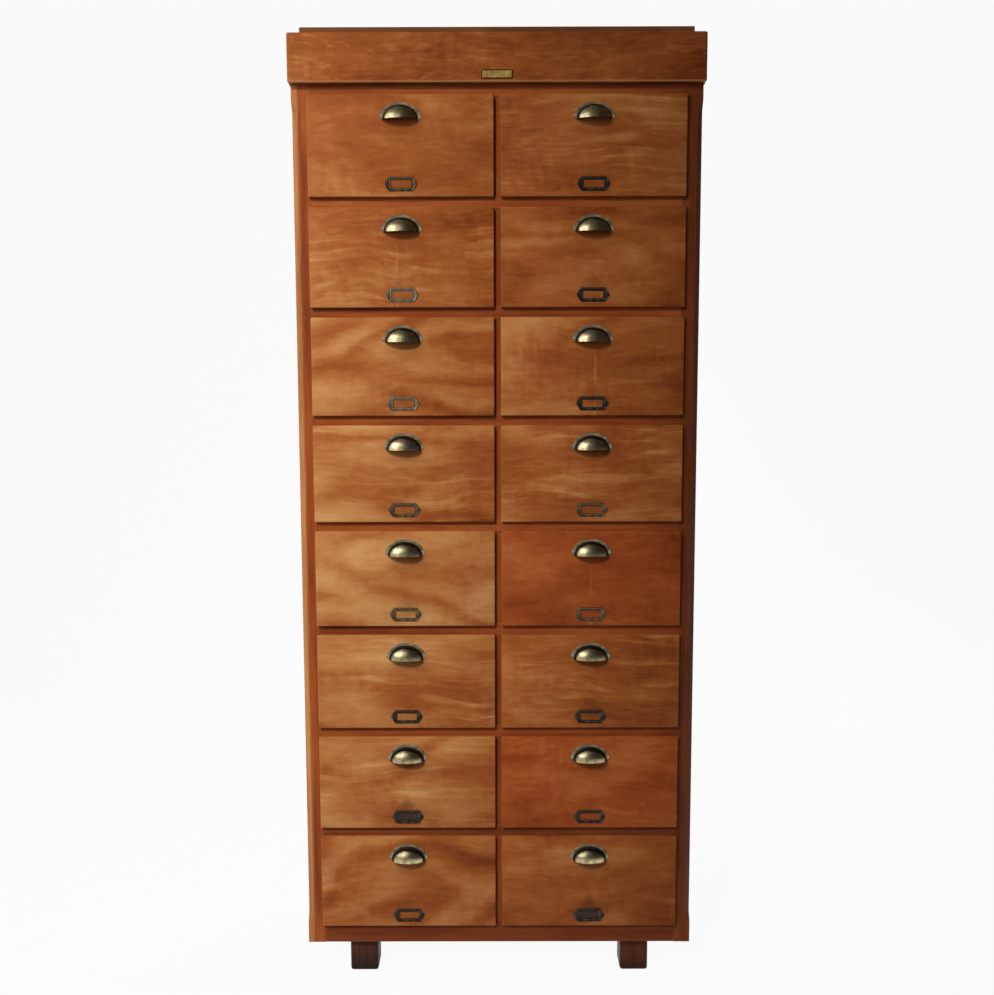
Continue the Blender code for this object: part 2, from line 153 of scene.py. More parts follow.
class Graph:
    """The shader graph of one material or of the world."""

    def __init__(self, owner: Owner, shader: str) -> None:
        """Open the nodes of a material or a world.

        Args:
            owner: the material or world.
            shader: name of the shader node that it starts with.
        """
        owner.use_nodes = True
        self.owner = owner
        self.tree = owner.node_tree
        self.shader = self.tree.nodes[shader]

    @classmethod
    def material(cls, name: str) -> "Graph":
        """The graph of a new material with a Principled shader."""
        return cls(bpy.data.materials.new(name), "Principled BSDF")

    @classmethod
    def world(cls, name: str) -> "Graph":
        """The graph of a new world."""
        return cls(bpy.data.worlds.new(name), "Background")

    def node(
        self,
        kind: str,
        settings: Optional[Mapping[str, object]] = None,
        inputs: Optional[Mapping[Key, Operand]] = None,
        output: Key = 0,
    ) -> Term:
        """Add a node.

        Args:
            kind: the node's type.
            settings: its properties, or "stops" for a ramp; they are set first.
            inputs: values or links of its sockets, by name or place.
            output: the socket to hand back.

        Returns:
            The chosen output.
        """
        made = self.tree.nodes.new(kind)
        for name, value in (settings or {}).items():
            if name == "stops":
                self._set_stops(made.color_ramp, value)
            else:
                setattr(made, name, value)
        for key, value in (inputs or {}).items():
            if isinstance(value, Term):
                self.tree.links.new(value.socket, made.inputs[key])
            else:
                made.inputs[key].default_value = value
        return Term(self, made.outputs[output])

    @staticmethod
    def _set_stops(ramp: bpy.types.ColorRamp, stops: Sequence[Tuple[float, Colour]]) -> None:
        """Give a ramp its stops, from the lowest up."""
        while len(ramp.elements) < len(stops):
            ramp.elements.new(1.0)
        for element, (position, colour) in zip(ramp.elements, stops):
            element.position = position
            element.color = (*colour, 1.0)

    def place(self) -> Term:
        """The point's place in the piece's own frame."""
        return self.node("ShaderNodeTexCoord", output="Object")

    def stored(self, name: str) -> Term:
        """A vector that the mesh stores at its points."""
        return self.node("ShaderNodeAttribute", {"attribute_name": name}, output="Vector")

    def parts(self, vector: Term) -> Tuple[Term, Term, Term]:
        """The three numbers of a vector."""
        split = self.node("ShaderNodeSeparateXYZ", inputs={0: vector}).socket.node
        return tuple(Term(self, socket) for socket in split.outputs)

    def vector(self, x: Operand, y: Operand, z: Operand) -> Term:
        """A vector of three numbers."""
        return self.node("ShaderNodeCombineXYZ", inputs={0: x, 1: y, 2: z})

    def fibres(self, grain: Grain) -> Term:
        """Place in the board: along its fibres, across its face, into its depth."""
        if grain is Grain.OWN:
            return self.stored("grain")
        named = dict(zip("XYZ", self.parts(self.place())))
        return self.vector(*(named[axis] for axis in grain.value))

    def noise(
        self, place: Term, scale: Point, detail: float = 2.0, rough: float = 0.5, warp: float = 0.0
    ) -> Term:
        """Soft noise about 0.5.

        Args:
            place: where it is read.
            scale: waves per metre in each direction.
            detail: octaves.
            rough: weight of the finer octaves.
            warp: how far it is bent by itself.

        Returns:
            The noise, from 0 to 1.
        """
        inputs = {"Vector": place * scale, "Scale": 1.0, "Detail": detail}
        inputs.update({"Roughness": rough, "Distortion": warp})
        return self.node("ShaderNodeTexNoise", None, inputs)

    def drift(self, place: Term, scale: float) -> Term:
        """A vector that wanders softly about zero."""
        inputs = {"Vector": place * scale, "Scale": 1.0, "Detail": 2.0}
        wander = self.node("ShaderNodeTexNoise", None, inputs, "Color")
        settings = {"operation": "SUBTRACT"}
        return self.node("ShaderNodeVectorMath", settings, {0: wander, 1: (0.5, 0.5, 0.5)})

    def specks(self, place: Term, scale: Point, size: float) -> Term:
        """Scattered small round marks, 1 inside each of them."""
        cells = self.node("ShaderNodeTexVoronoi", None, {"Vector": place * scale, "Scale": 1.0}).socket.node
        distance = Term(self, cells.outputs["Distance"])
        chance = self.node("ShaderNodeSeparateColor", None, {0: Term(self, cells.outputs["Color"])})
        return (1 - distance.above(size * 0.5, size)) * chance.above(0.6, 0.65)

    def ramp(self, value: Term, stops: Sequence[Tuple[float, Colour]]) -> Term:
        """Colour by value."""
        return self.node("ShaderNodeValToRGB", {"stops": stops}, {0: value})

    def mix(self, first: Operand, second: Operand, factor: Operand) -> Term:
        """Blend of two colours."""
        first, second = (c if isinstance(c, Term) else (*c, 1.0) for c in (first, second))
        inputs = {0: factor, 6: first, 7: second}
        return self.node("ShaderNodeMix", {"data_type": "RGBA"}, inputs, 2)

    def edges(self, radius: float) -> Term:
        """1 on the corners and edges of a piece, 0 on its flats."""
        soft = self.node("ShaderNodeBevel", {"samples": 6}, {"Radius": radius})
        flat = self.node("ShaderNodeNewGeometry", output="True Normal")
        dot = self.node("ShaderNodeVectorMath", {"operation": "DOT_PRODUCT"}, {0: soft, 1: flat}, "Value")
        return (1 - dot).above(0.015, 0.16)

    def facing(self) -> Tuple[Term, Term, Term]:
        """Direction in which the surface faces, in the model's frame."""
        return self.parts(self.node("ShaderNodeNewGeometry", output="Normal"))

    def bump(self, height: Term, strength: float, distance: float) -> Term:
        """Relief of a surface."""
        inputs = {"Strength": strength, "Distance": distance, "Height": height}
        return self.node("ShaderNodeBump", None, inputs)

    def close(self, links: Mapping[str, Term], fixed: Mapping[str, object]) -> Owner:
        """Feed the shader.

        Args:
            links: what varies over the surface, by socket.
            fixed: what is the same all over, by socket.

        Returns:
            The finished material or world.
        """
        for name, value in fixed.items():
            self.shader.inputs[name].default_value = value
        for name, term in links.items():
            self.tree.links.new(term.socket, self.shader.inputs[name])
        return self.owner


@dataclass(frozen=True)
class VeneerFinish:
    """Figured honey veneer under worn shellac, for the drawer fronts and the cornice."""

    name: str
    grain: Grain
    flecks: float = 0.0
    swirl: float = 0.0
    streak: float = 0.4
    tone: float = 0.0
    deep: Colour = (0.180, 0.037, 0.0078)
    body: Colour = (0.345, 0.097, 0.0225)
    honey: Colour = (0.465, 0.182, 0.0560)
    pale: Colour = (0.590, 0.295, 0.1080)
    worn: Colour = (0.600, 0.310, 0.1250)

    def material(self) -> bpy.types.Material:
        """Make the material.

        Returns:
            Veneer whose figure follows what the piece stores, or this finish.
        """
        g = Graph.material(self.name)
        place = g.fibres(self.grain)
        swirl, streak, tone = self._figure(g)
        bent = place + g.drift(place, 4.0) * (0.11, 0.055, 0.055)
        cut = g.noise(bent, (2.4, 6.5, 6.5), 1.0, 0.4)
        band = (cut * 4.4).fraction()
        tongue = band.above(0.0, 0.55) * (1 - band.above(0.68, 1.0))
        patch = g.noise(bent, (6.0, 15.0, 15.0), 5.0, 0.60)
        mottle = g.noise(bent, (34.0, 85.0, 85.0), 3.0, 0.6)
        cloud = g.noise(place, (2.6, 3.8, 3.8), 1.0)
        gust = g.noise(place, (4.0, 9.0, 9.0), 1.0).above(0.40, 0.64)
        wave = g.noise(bent, (3.6, 56.0, 56.0), 3.0, 0.5, 0.5).above(0.48, 0.80) * gust
        line = g.noise(bent, (2.2, 170.0, 170.0), 2.0, 0.5).above(0.52, 0.78)
        fibre = g.noise(place, (22.0, 760.0, 760.0), 2.0, 0.6)
        curl = g.noise(bent, (62.0, 18.0, 18.0), 2.0, 0.5)
        value = 0.42 + tone + (patch - 0.5) * 0.80 + (cloud - 0.5) * 0.62 + (fibre - 0.5) * 0.17
        value = value + (tongue - 0.5) * swirl * 0.30 + (wave * 0.46 + line * 0.16 - 0.10) * streak
        value = value + (curl - 0.5) * 0.26 * gust + (mottle - 0.5) * 0.34
        if self.flecks:
            ray = g.noise(bent, (15.0, 66.0, 66.0), 2.0, 0.5, 1.4).above(0.50, 0.72)
            across, _, _ = g.parts(g.place())
            # Painted shade: the cornice and its returns get darker towards the right, where less light falls.
            value = value + ray * self.flecks - across * 0.20
        stops = [(0.06, self.deep), (0.40, self.body), (0.66, self.honey), (0.98, self.pale)]
        colour = g.ramp(value, stops)
        if self.grain is Grain.OWN:
            red, _, _ = g.parts(g.stored("stain"))
            colour = g.mix(colour, colour * (1.0, 0.60, 0.50, 1.0), red)
        return self._wear(g, place, colour, fibre, value)

    def _figure(self, g: Graph) -> Tuple[Operand, Operand, Operand]:
        """Weights of swirls and streaks, and the shift of tone."""
        if self.grain is Grain.OWN:
            return g.parts(g.stored("figure"))
        return self.swirl, self.streak, self.tone

    def _wear(self, g: Graph, place: Term, colour: Term, fibre: Term, value: Term) -> bpy.types.Material:
        """Add pores, specks, scratches, rubbed edges and gloss.

        Args:
            g: graph of the material.
            place: place in the board.
            colour: colour of the clean veneer.
            fibre: fine fibres.
            value: how pale the wood is.

        Returns:
            The finished material.
        """
        pore = g.noise(place, (70.0, 1500.0, 1500.0), 1.0).above(0.63, 0.72)
        colour = g.mix(colour, self.deep, pore * 0.20)
        speck = g.specks(place, (34.0, 34.0, 34.0), 0.055)
        colour = g.mix(colour, (0.035, 0.011, 0.005), speck * 0.6)
        scratch = g.noise(place, (16.0, 620.0, 620.0), 2.0).above(0.70, 0.75)
        colour = g.mix(colour, self.worn, scratch * 0.20)
        if self.grain is Grain.OWN:
            colour = self._hand_marks(g, colour)
        rubbed = g.edges(0.0028) * g.noise(place, (38.0, 60.0, 60.0), 3.0).above(0.34, 0.62)
        colour = g.mix(colour, self.worn, rubbed * 0.62)
        if self.flecks:
            _, _, up = g.facing()
            lower = (0 - up).above(0.12, 0.45) * (1 - (0 - up).above(0.88, 0.97))
            colour = g.mix(colour, self.worn, lower * 0.8)
        dull = g.noise(place, (11.0, 15.0, 15.0), 3.0, 0.6)
        rough = 0.33 + dull * 0.20 + rubbed * 0.18 + fibre * 0.06
        height = fibre * 0.5 + value * 0.6 - pore * 0.8 + dull * 0.9
        links = {"Base Color": colour, "Roughness": rough, "Normal": g.bump(height, 0.22, 0.0007)}
        return g.close(links, {"Specular IOR Level": 0.10})

    def _hand_marks(self, g: Graph, colour: Term) -> Term:
        """Grime and painted shade round the pull, drips under it and a smudge above the label.

        Args:
            g: graph of the material.
            colour: colour so far.

        Returns:
            The marked colour.
        """
        x, _, z = g.parts(g.place())
        drip, drip_x, smudge = g.parts(g.stored("marks"))
        blur = g.noise(g.place(), (26.0, 26.0, 26.0), 3.0)
        # Grime and painted shade: the front is darkened round and under the pull.
        below = 1 - (abs(x) * 11.0 + abs(z - 0.132) * 30.0 + (blur - 0.5) * 1.1).above(0.15, 1.1)
        colour = g.mix(colour, self.deep, below * 0.30)
        label = 1 - (abs(x) * 17.0 + abs(z - 0.030) * 26.0 + (blur - 0.5) * 1.3).above(0.2, 1.2)
        colour = g.mix(colour, (0.10, 0.024, 0.007), label * (0.12 + smudge * 0.6))
        wander = x - drip_x + (blur - 0.5) * 0.006
        run = (1 - abs(wander).above(0.0006, 0.0038)) * (1 - (z - 0.115).above(0.0, 0.02))
        run = run * blur.above(0.34, 0.62) * drip
        return g.mix(colour, self.pale, run * 0.40)


@dataclass(frozen=True)
class BoardFinish:
    """Plain straight-grained wood, stained or bare."""

    name: str
    grain: Grain
    deep: Colour
    body: Colour
    light: Colour
    worn: Colour
    gloss: float = 0.40
    wear: float = 0.55
    dark_base_height: float = 0.0
    lit_edge_x: float = 0.0

    def material(self) -> bpy.types.Material:
        """Make the material.

        Returns:
            Wood with long streaks, pores, dents and rubbed edges.
        """
        g = Graph.material(self.name)
        place = g.fibres(self.grain)
        cloud = g.noise(place, (1.7, 8.0, 8.0), 3.0, 0.55)
        streak = g.noise(place, (2.6, 75.0, 75.0), 4.0, 0.6, 0.3)
        fibre = g.noise(place, (14.0, 700.0, 700.0), 2.0, 0.6)
        blot = g.noise(place, (9.0, 45.0, 45.0), 4.0, 0.6)
        value = 0.5 + (cloud - 0.5) * 1.05 + (streak - 0.5) * 0.90
        value = value + (blot - 0.5) * 0.55 + (fibre - 0.5) * 0.24
        colour = g.ramp(value, [(0.10, self.deep), (0.50, self.body), (0.92, self.light)])
        pore = g.noise(place, (50.0, 1300.0, 1300.0), 1.0).above(0.62, 0.72)
        colour = g.mix(colour, self.deep, pore * 0.42)
        nick = g.specks(place, (26.0, 40.0, 40.0), 0.075)
        colour = g.mix(colour, (0.020, 0.008, 0.004), nick * 0.7)
        patchy = g.noise(place, (22.0, 34.0, 34.0), 3.0, 0.6)
        rubbed = g.edges(0.0026) * patchy.above(0.36, 0.60)
        scuff = g.noise(place, (28.0, 260.0, 260.0), 2.0).above(0.69, 0.75)
        colour = g.mix(colour, self.worn, rubbed * self.wear)
        colour = g.mix(colour, self.worn, scuff * self.wear * 0.30)
        x, _, z = g.parts(g.place())
        # Painted light: a pale band along the stile's outer edge, where the lamp falls.
        if self.lit_edge_x:
            near = 1 - (abs(x - self.lit_edge_x) + (blot - 0.5) * 0.012).above(0.009, 0.018)
            colour = g.mix(colour, self.worn, near * 0.65)
        # The foot gets darker towards the floor.
        if self.dark_base_height:
            low = 1 - (z + (patchy - 0.5) * 0.03).above(0.0, self.dark_base_height)
            colour = g.mix(colour, (0.010, 0.006, 0.005), low * 0.82)
        rough = self.gloss + (patchy - 0.5) * 0.22 + rubbed * 0.16 + fibre * 0.06
        height = fibre * 0.5 + streak * 0.7 - pore * 0.9 - nick * 1.5
        links = {"Base Color": colour, "Roughness": rough, "Normal": g.bump(height, 0.25, 0.0007)}
        return g.close(links, {"Specular IOR Level": 0.10})


@dataclass(frozen=True)
class MetalFinish:
    """Old brass or bronze: bright where it is handled, with a patchy dark patina, and on the pull's bowl
    grime and painted shade.
    """

    name: str
    bright: Colour
    body: Colour
    dark: Colour
    gloss: float = 0.30
    rubbing: float = 0.5
    metallic: float = 1.0
    dirt_and_shade: float = 0.0

    def material(self) -> bpy.types.Material:
        """Make the material.

        Returns:
            Metal with a blotched patina, rubbed edges and fine scratches.
        """
        g = Graph.material(self.name)
        place = g.place()
        blotch = g.noise(place, (75.0, 75.0, 75.0), 4.0, 0.62)
        grit = g.noise(place, (900.0, 900.0, 900.0), 2.0)
        brush = g.noise(place, (60.0, 900.0, 2600.0), 2.0)
        stops = [(0.26, self.dark), (0.50, self.body), (0.80, self.bright)]
        colour = g.ramp(blotch + (grit - 0.5) * 0.25, stops)
        rubbed = g.edges(0.0012) * blotch.above(0.30, 0.56)
        colour = g.mix(colour, self.bright, rubbed * self.rubbing)
        spot = g.specks(place, (330.0, 330.0, 330.0), 0.16)
        colour = g.mix(colour, self.dark, spot * 0.6)
        rough = self.gloss + (0.5 - blotch) * 0.26 + grit * 0.10 - rubbed * 0.06
        height = grit * 0.5 + brush * 0.25 + blotch * 0.4
        links = {"Base Color": colour, "Roughness": rough, "Normal": g.bump(height, 0.12, 0.0002)}
        # Grime and painted shade: the bowl is darkened and made less metallic where it faces up or sideways,
        # away from the front.
        if self.dirt_and_shade:
            _, front, _ = g.facing()
            shade_dirt_mask = (1 - (0 - front + (blotch - 0.5) * 0.25).above(0.34, 0.90)) * self.dirt_and_shade
            links["Base Color"] = g.mix(colour, (0.016, 0.012, 0.008), shade_dirt_mask.above(0.0, 0.5))
            links["Metallic"] = (1 - shade_dirt_mask.above(0.5, 1.0)) * self.metallic
            links["Roughness"] = rough + shade_dirt_mask * 0.3
        return g.close(links, {"Metallic": self.metallic, "Specular IOR Level": 0.3})


@dataclass(frozen=True)
class CardFinish:
    """A dark, greasy old card behind a label frame."""

    name: str
    body: Colour
    dark: Colour

    def material(self) -> bpy.types.Material:
        """Make the material."""
        g = Graph.material(self.name)
        stain = g.noise(g.place(), (120.0, 120.0, 160.0), 4.0, 0.6)
        pulp = g.noise(g.place(), (1500.0, 1500.0, 2500.0), 2.0)
        colour = g.ramp(stain + (pulp - 0.5) * 0.3, [(0.3, self.dark), (0.75, self.body)])
        relief = g.bump(pulp + stain, 0.2, 0.0003)
        links = {"Base Color": colour, "Roughness": 0.5 + pulp * 0.3, "Normal": relief}
        return g.close(links, {"Specular IOR Level": 0.35})


RED_BROWN = dict(
    deep=(0.135, 0.0270, 0.0074),
    body=(0.305, 0.0690, 0.0165),
    light=(0.440, 0.1320, 0.0340),
    worn=(0.560, 0.2450, 0.0820),
)
SHADED = dict(
    deep=(0.085, 0.0190, 0.0066),
    body=(0.205, 0.0480, 0.0135),
    light=(0.310, 0.0880, 0.0240),
    worn=(0.430, 0.1600, 0.0520),
)
# Darkest frame colours, used for the bottom rail.
LOWEST_RAIL_COLOURS = dict(
    deep=(0.070, 0.0140, 0.0050),
    body=(0.170, 0.0355, 0.0100),
    light=(0.250, 0.0620, 0.0175),
    worn=(0.360, 0.1250, 0.0420),
)
BARE = dict(
    deep=(0.250, 0.135, 0.060),
    body=(0.440, 0.270, 0.130),
    light=(0.560, 0.370, 0.200),
    worn=(0.600, 0.430, 0.260),
    gloss=0.62,
    wear=0.25,
)


class Finish(Enum):
    """The finishes of the cabinet."""

    FRONT = VeneerFinish("figured_front_veneer", Grain.OWN)
    CORNICE = VeneerFinish("flecked_cornice_oak", Grain.ACROSS, flecks=0.16, streak=0.4, tone=-0.13)
    RETURN = VeneerFinish("flecked_return_oak", Grain.DEEP, flecks=0.13, streak=0.4, tone=-0.13)
    STILE = BoardFinish("red_brown_stile", Grain.UPRIGHT, **RED_BROWN)
    # Painted light: the left stile is paler along its outer edge.
    LIT_EDGE_STILE = BoardFinish("left_stile_lit_edge", Grain.UPRIGHT, **RED_BROWN, lit_edge_x=-0.435)
    # Dirt and painted shade: the right stile takes the darker SHADED colours.
    SHADED_STILE = BoardFinish("shaded_right_stile", Grain.UPRIGHT, **SHADED)
    RAIL = BoardFinish("red_brown_rail", Grain.ACROSS, **RED_BROWN)
    SHADED_RAIL = BoardFinish("shaded_brown_rail", Grain.ACROSS, **SHADED)
    DARK_RAIL = BoardFinish("dark_brown_rail", Grain.ACROSS, **LOWEST_RAIL_COLOURS)
    # Painted light: a pale colour for the chamfer that faces the lamp.
    LIT_CHAMFER = BoardFinish(
        "painted_lit_chamfer", Grain.UPRIGHT, (0.240, 0.075, 0.022), (0.460, 0.190, 0.064), (0.570, 0.280, 0.105),
        (0.620, 0.340, 0.150),
    )
    INSIDE = BoardFinish("bare_inside_wood", Grain.DEEP, **BARE)
    BACK = BoardFinish("bare_back_ply", Grain.UPRIGHT, **BARE)
    TRAY = BoardFinish("bare_drawer_wood", Grain.OWN, **BARE)
    PINS = BoardFinish(
        "dark_end_grain", Grain.OWN, (0.130, 0.062, 0.026), (0.255, 0.135, 0.060), (0.350, 0.205, 0.100),
        (0.420, 0.270, 0.150), 0.66, 0.25,
    )
    TOP = BoardFinish(
        "dark_top_board", Grain.ACROSS, (0.095, 0.032, 0.011), (0.195, 0.070, 0.024), (0.280, 0.112, 0.042),
        (0.360, 0.170, 0.070), wear=0.30,
    )
    FOOT = BoardFinish(
        "dark_foot_wood", Grain.UPRIGHT, (0.022, 0.009, 0.006), (0.062, 0.021, 0.013), (0.105, 0.037, 0.021),
        (0.190, 0.075, 0.040), wear=0.40, dark_base_height=0.060,
    )
    RED_FOOT = BoardFinish(
        "red_foot_wood", Grain.UPRIGHT, (0.036, 0.012, 0.006), (0.112, 0.032, 0.012), (0.170, 0.055, 0.021),
        (0.240, 0.095, 0.042), wear=0.40, dark_base_height=0.045,
    )
    # The bowl gets grime and painted shade where it faces up or sideways.
    PULL = MetalFinish(
        "antique_brass_cup", (0.860, 0.780, 0.560), (0.620, 0.510, 0.270), (0.230, 0.170, 0.085),
        gloss=0.27, dirt_and_shade=0.95,
    )
    PULL_RIM = MetalFinish(
        "darkened_brass_rim", (0.560, 0.480, 0.310), (0.200, 0.170, 0.095), (0.070, 0.058, 0.034),
        gloss=0.38, rubbing=0.80, metallic=0.5,
    )
    SCREW = MetalFinish(
        "rubbed_screw_head", (0.720, 0.660, 0.520), (0.480, 0.420, 0.300), (0.140, 0.115, 0.075)
    )
    PLATE = MetalFinish(
        "name_plate_brass", (0.740, 0.530, 0.180), (0.500, 0.315, 0.090), (0.120, 0.070, 0.024),
        gloss=0.42, metallic=0.6,
    )
    PLATE_RIM = MetalFinish(
        "name_plate_dark_rim", (0.160, 0.105, 0.045), (0.050, 0.030, 0.014), (0.015, 0.010, 0.006)
    )
    PALE_BRONZE = MetalFinish(
        "pale_label_bronze", (0.400, 0.330, 0.235), (0.235, 0.180, 0.112), (0.085, 0.058, 0.034), gloss=0.38
    )
    OLIVE_BRONZE = MetalFinish(
        "olive_label_bronze", (0.290, 0.225, 0.135), (0.120, 0.085, 0.046), (0.032, 0.022, 0.013), gloss=0.38
    )
    BLACK_BRONZE = MetalFinish(
        "black_label_bronze", (0.150, 0.120, 0.092), (0.034, 0.026, 0.019), (0.010, 0.008, 0.006),
        gloss=0.36, rubbing=0.35, metallic=0.85,
    )
    NAIL = MetalFinish(
        "dull_nail_steel", (0.330, 0.300, 0.270), (0.160, 0.140, 0.120), (0.050, 0.036, 0.028), gloss=0.45
    )
    DARK_CARD = CardFinish("greasy_dark_card", (0.060, 0.026, 0.016), (0.016, 0.008, 0.006))


class Palette:
    """Makes each finish's material once and hands it out."""

    def __init__(self) -> None:
        """Start with no materials."""
        self._made: Dict[Finish, bpy.types.Material] = {}

    def __getitem__(self, finish: Finish) -> bpy.types.Material:
        """The material of a finish."""
        if finish not in self._made:
            self._made[finish] = finish.value.material()
        return self._made[finish]


class Shell:
    """Gathers the faces of one piece."""

    def __init__(self) -> None:
        """Start an empty mesh with a layer for the run of the fibres."""
        self.mesh = bmesh.new()
        self.grain = self.mesh.verts.layers.float_vector.new("grain")

    def _since(self, before: Set[bmesh.types.BMVert]) -> List[bmesh.types.BMVert]:
        """Points that were added after the given ones."""
        return [vert for vert in self.mesh.verts if vert not in before]

    def _settle(self, verts: Sequence[bmesh.types.BMVert], slot: int, grain: Grain, shift: Point) -> None:
        """Give new points their fibres and new faces their finish.

        Args:
            verts: the new points.
            slot: place of the finish in the piece's list.
            grain: the way the fibres run.
            shift: where in the tree the board was cut.
        """
        order = ["XYZ".index(axis) for axis in grain.value] or [0, 1, 2]
        for vert in verts:
            vert[self.grain] = Vector([vert.co[axis] for axis in order]) + Vector(shift)
        for face in {face for vert in verts for face in vert.link_faces}:
            face.material_index = slot

    def board(
        self,
        low: Point,
        high: Point,
        grain: Grain = Grain.ACROSS,
        slot: int = 0,
        shift: Point = (0.0, 0.0, 0.0),
        ease: float = 0.0006,
        segments: int = 2,
    ) -> None:
        """Add a board with rounded edges.

        Args:
            low: lowest corner.
            high: highest corner.
            grain: the way its fibres run.
            slot: place of its finish.
            shift: where in the tree it was cut.
            ease: rounding of its edges.
            segments: steps of the rounding.
        """
        low, high = Vector(low), Vector(high)
        before = set(self.mesh.verts)
        shape = Matrix.Translation((low + high) / 2) @ Matrix.Diagonal((*(high - low), 1.0))
        made = bmesh.ops.create_cube(self.mesh, size=1.0, matrix=shape)["verts"]
        edges = list({edge for vert in made for edge in vert.link_edges})
        bmesh.ops.bevel(self.mesh, geom=edges, offset=ease, segments=segments, profile=0.5, affect="EDGES")
        self._settle(self._since(before), slot, grain, shift)

    def prism(
        self, outline: Sequence[Flat], low_x: float, high_x: float, grain: Grain, slot: int, shift: Point
    ) -> None:
        """Add a piece with an outline in the YZ plane.

        Args:
            outline: its corners, as (y, z).
            low_x: where it starts.
            high_x: where it ends.
            grain: the way its fibres run.
            slot: place of its finish.
            shift: where in the tree it was cut.
        """
        rings = [[self.mesh.verts.new((x, y, z)) for y, z in outline] for x in (low_x, high_x)]
        faces = [self.mesh.faces.new(ring) for ring in rings] + self._wall(*rings)
        bmesh.ops.recalc_face_normals(self.mesh, faces=faces)
        self._settle(rings[0] + rings[1], slot, grain, shift)

    def _wall(
        self, first: Sequence[bmesh.types.BMVert], second: Sequence[bmesh.types.BMVert]
    ) -> List[bmesh.types.BMFace]:
        """Faces between two rings of points."""
        new = self.mesh.faces.new
        return [new((first[i - 1], first[i], second[i], second[i - 1])) for i in range(len(first))]

    def rings(
        self, loops: Sequence[Sequence[Point]], slot: int = 0, shut: bool = False, cap: bool = False
    ) -> None:
        """Add a skin over rings of points.

        Args:
            loops: the rings, all with the same count of points.
            slot: place of its finish.
            shut: True to join the last ring to the first.
            cap: True to fill the first and last ring.
        """
        made = [[self.mesh.verts.new(point) for point in loop] for loop in loops]
        pairs = list(zip(made, made[1:])) + ([(made[-1], made[0])] if shut else [])
        faces = [face for pair in pairs for face in self._wall(*pair)]
        if cap:
            faces += [self.mesh.faces.new(made[0]), self.mesh.faces.new(made[-1])]
        bmesh.ops.recalc_face_normals(self.mesh, faces=faces)
        self._settle([vert for ring in made for vert in ring], slot, Grain.ACROSS, (0.0, 0.0, 0.0))

    @staticmethod
    def dome(radius: float, rise: float, steps: int, levels: int) -> List[List[Point]]:
        """Rings of a low dome from its rim up.

        Args:
            radius: radius of its rim.
            rise: its height.
            steps: points round a ring.
            levels: count of rings.

        Returns:
            The rings, with each point as (x, height, z).
        """
        turns = [2 * math.pi * step / steps for step in range(steps)]
        leans = [math.pi / 2 * level / levels for level in range(levels)]
        sizes = [(radius * math.cos(lean), rise * math.sin(lean)) for lean in leans]
        return [[(r * math.cos(a), lift, r * math.sin(a)) for a in turns] for r, lift in sizes]

    def slotted_head(self, centre: Point, radius: float, rise: float, turn: float, slot: int) -> None:
        """Add a domed screw head with a slot, its top towards -Y.

        Args:
            centre: middle of its seat.
            radius: radius of the head.
            rise: height of the dome.
            turn: angle of the slot.
            slot: place of its finish.
        """
        before = set(self.mesh.verts)
        rings = self.dome(radius, rise, 20, 5)
        self.rings([[(x, -lift, z) for x, lift, z in ring] for ring in rings], slot, cap=True)
        half = radius * SLOT_SHARE
        for side in (-half, half):
            near = self._since(before)
            edges = {edge for vert in near for edge in vert.link_edges}
            faces = {face for vert in near for face in vert.link_faces}
            geom = [*near, *edges, *faces]
            bmesh.ops.bisect_plane(self.mesh, geom=geom, dist=1e-7, plane_co=(side, 0, 0), plane_no=(1, 0, 0))
        near = self._since(before)
        tops = {f for v in near for f in v.link_faces if f.calc_center_median().y < -1e-6}
        groove = [f for f in tops if abs(f.calc_center_median().x) < half]
        sunk = bmesh.ops.extrude_face_region(self.mesh, geom=groove)["geom"]
        for vert in (item for item in sunk if isinstance(item, bmesh.types.BMVert)):
            vert.co.y = min(-rise * 0.08, vert.co.y + rise * 0.45)
        bmesh.ops.delete(self.mesh, geom=groove, context="FACES_ONLY")
        near = self._since(before)
        place = Matrix.Translation(centre) @ Matrix.Rotation(turn, 4, "Y")
        bmesh.ops.transform(self.mesh, matrix=place, verts=near)
        self._settle(near, slot, Grain.ACROSS, (0.0, 0.0, 0.0))

    def store(self, name: str, value: Callable[[Vector], Point]) -> None:
        """Store a vector at every point of the piece, worked out from its place."""
        layer = self.mesh.verts.layers.float_vector.new(name)
        for vert in self.mesh.verts:
            vert[layer] = Vector(value(vert.co))

    def done(self, name: str, crease: float = 35.0) -> bpy.types.Mesh:
        """Turn what was gathered into a mesh with smooth rounds and crisp edges."""
        data = bpy.data.meshes.new(name)
        self.mesh.to_mesh(data)
        self.mesh.free()
        data.shade_smooth()
        data.set_sharp_from_angle(angle=math.radians(crease))
        return data


@dataclass
class Piece:
    """One finished piece, ready to go on its body."""

    name: str
    mesh: bpy.types.Mesh
    finishes: Sequence[bpy.types.Material]
    body: str
    slot: str
    origin: Point = (0.0, 0.0, 0.0)
    stands_for: Tuple[str, ...] = ()

    def fit(self) -> None:
        """Put the piece in the scene, riding on its body."""
        for material in self.finishes:
            self.mesh.materials.append(material)
        made = bpy.data.objects.new(self.name, self.mesh)
        made.location = self.origin
        bpy.context.scene.collection.objects.link(made)
        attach(made, self.body)
        if self.stands_for:
            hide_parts(*self.stands_for)
        LOG.info("%s rides on %s, %d faces", self.name, self.body, len(self.mesh.polygons))


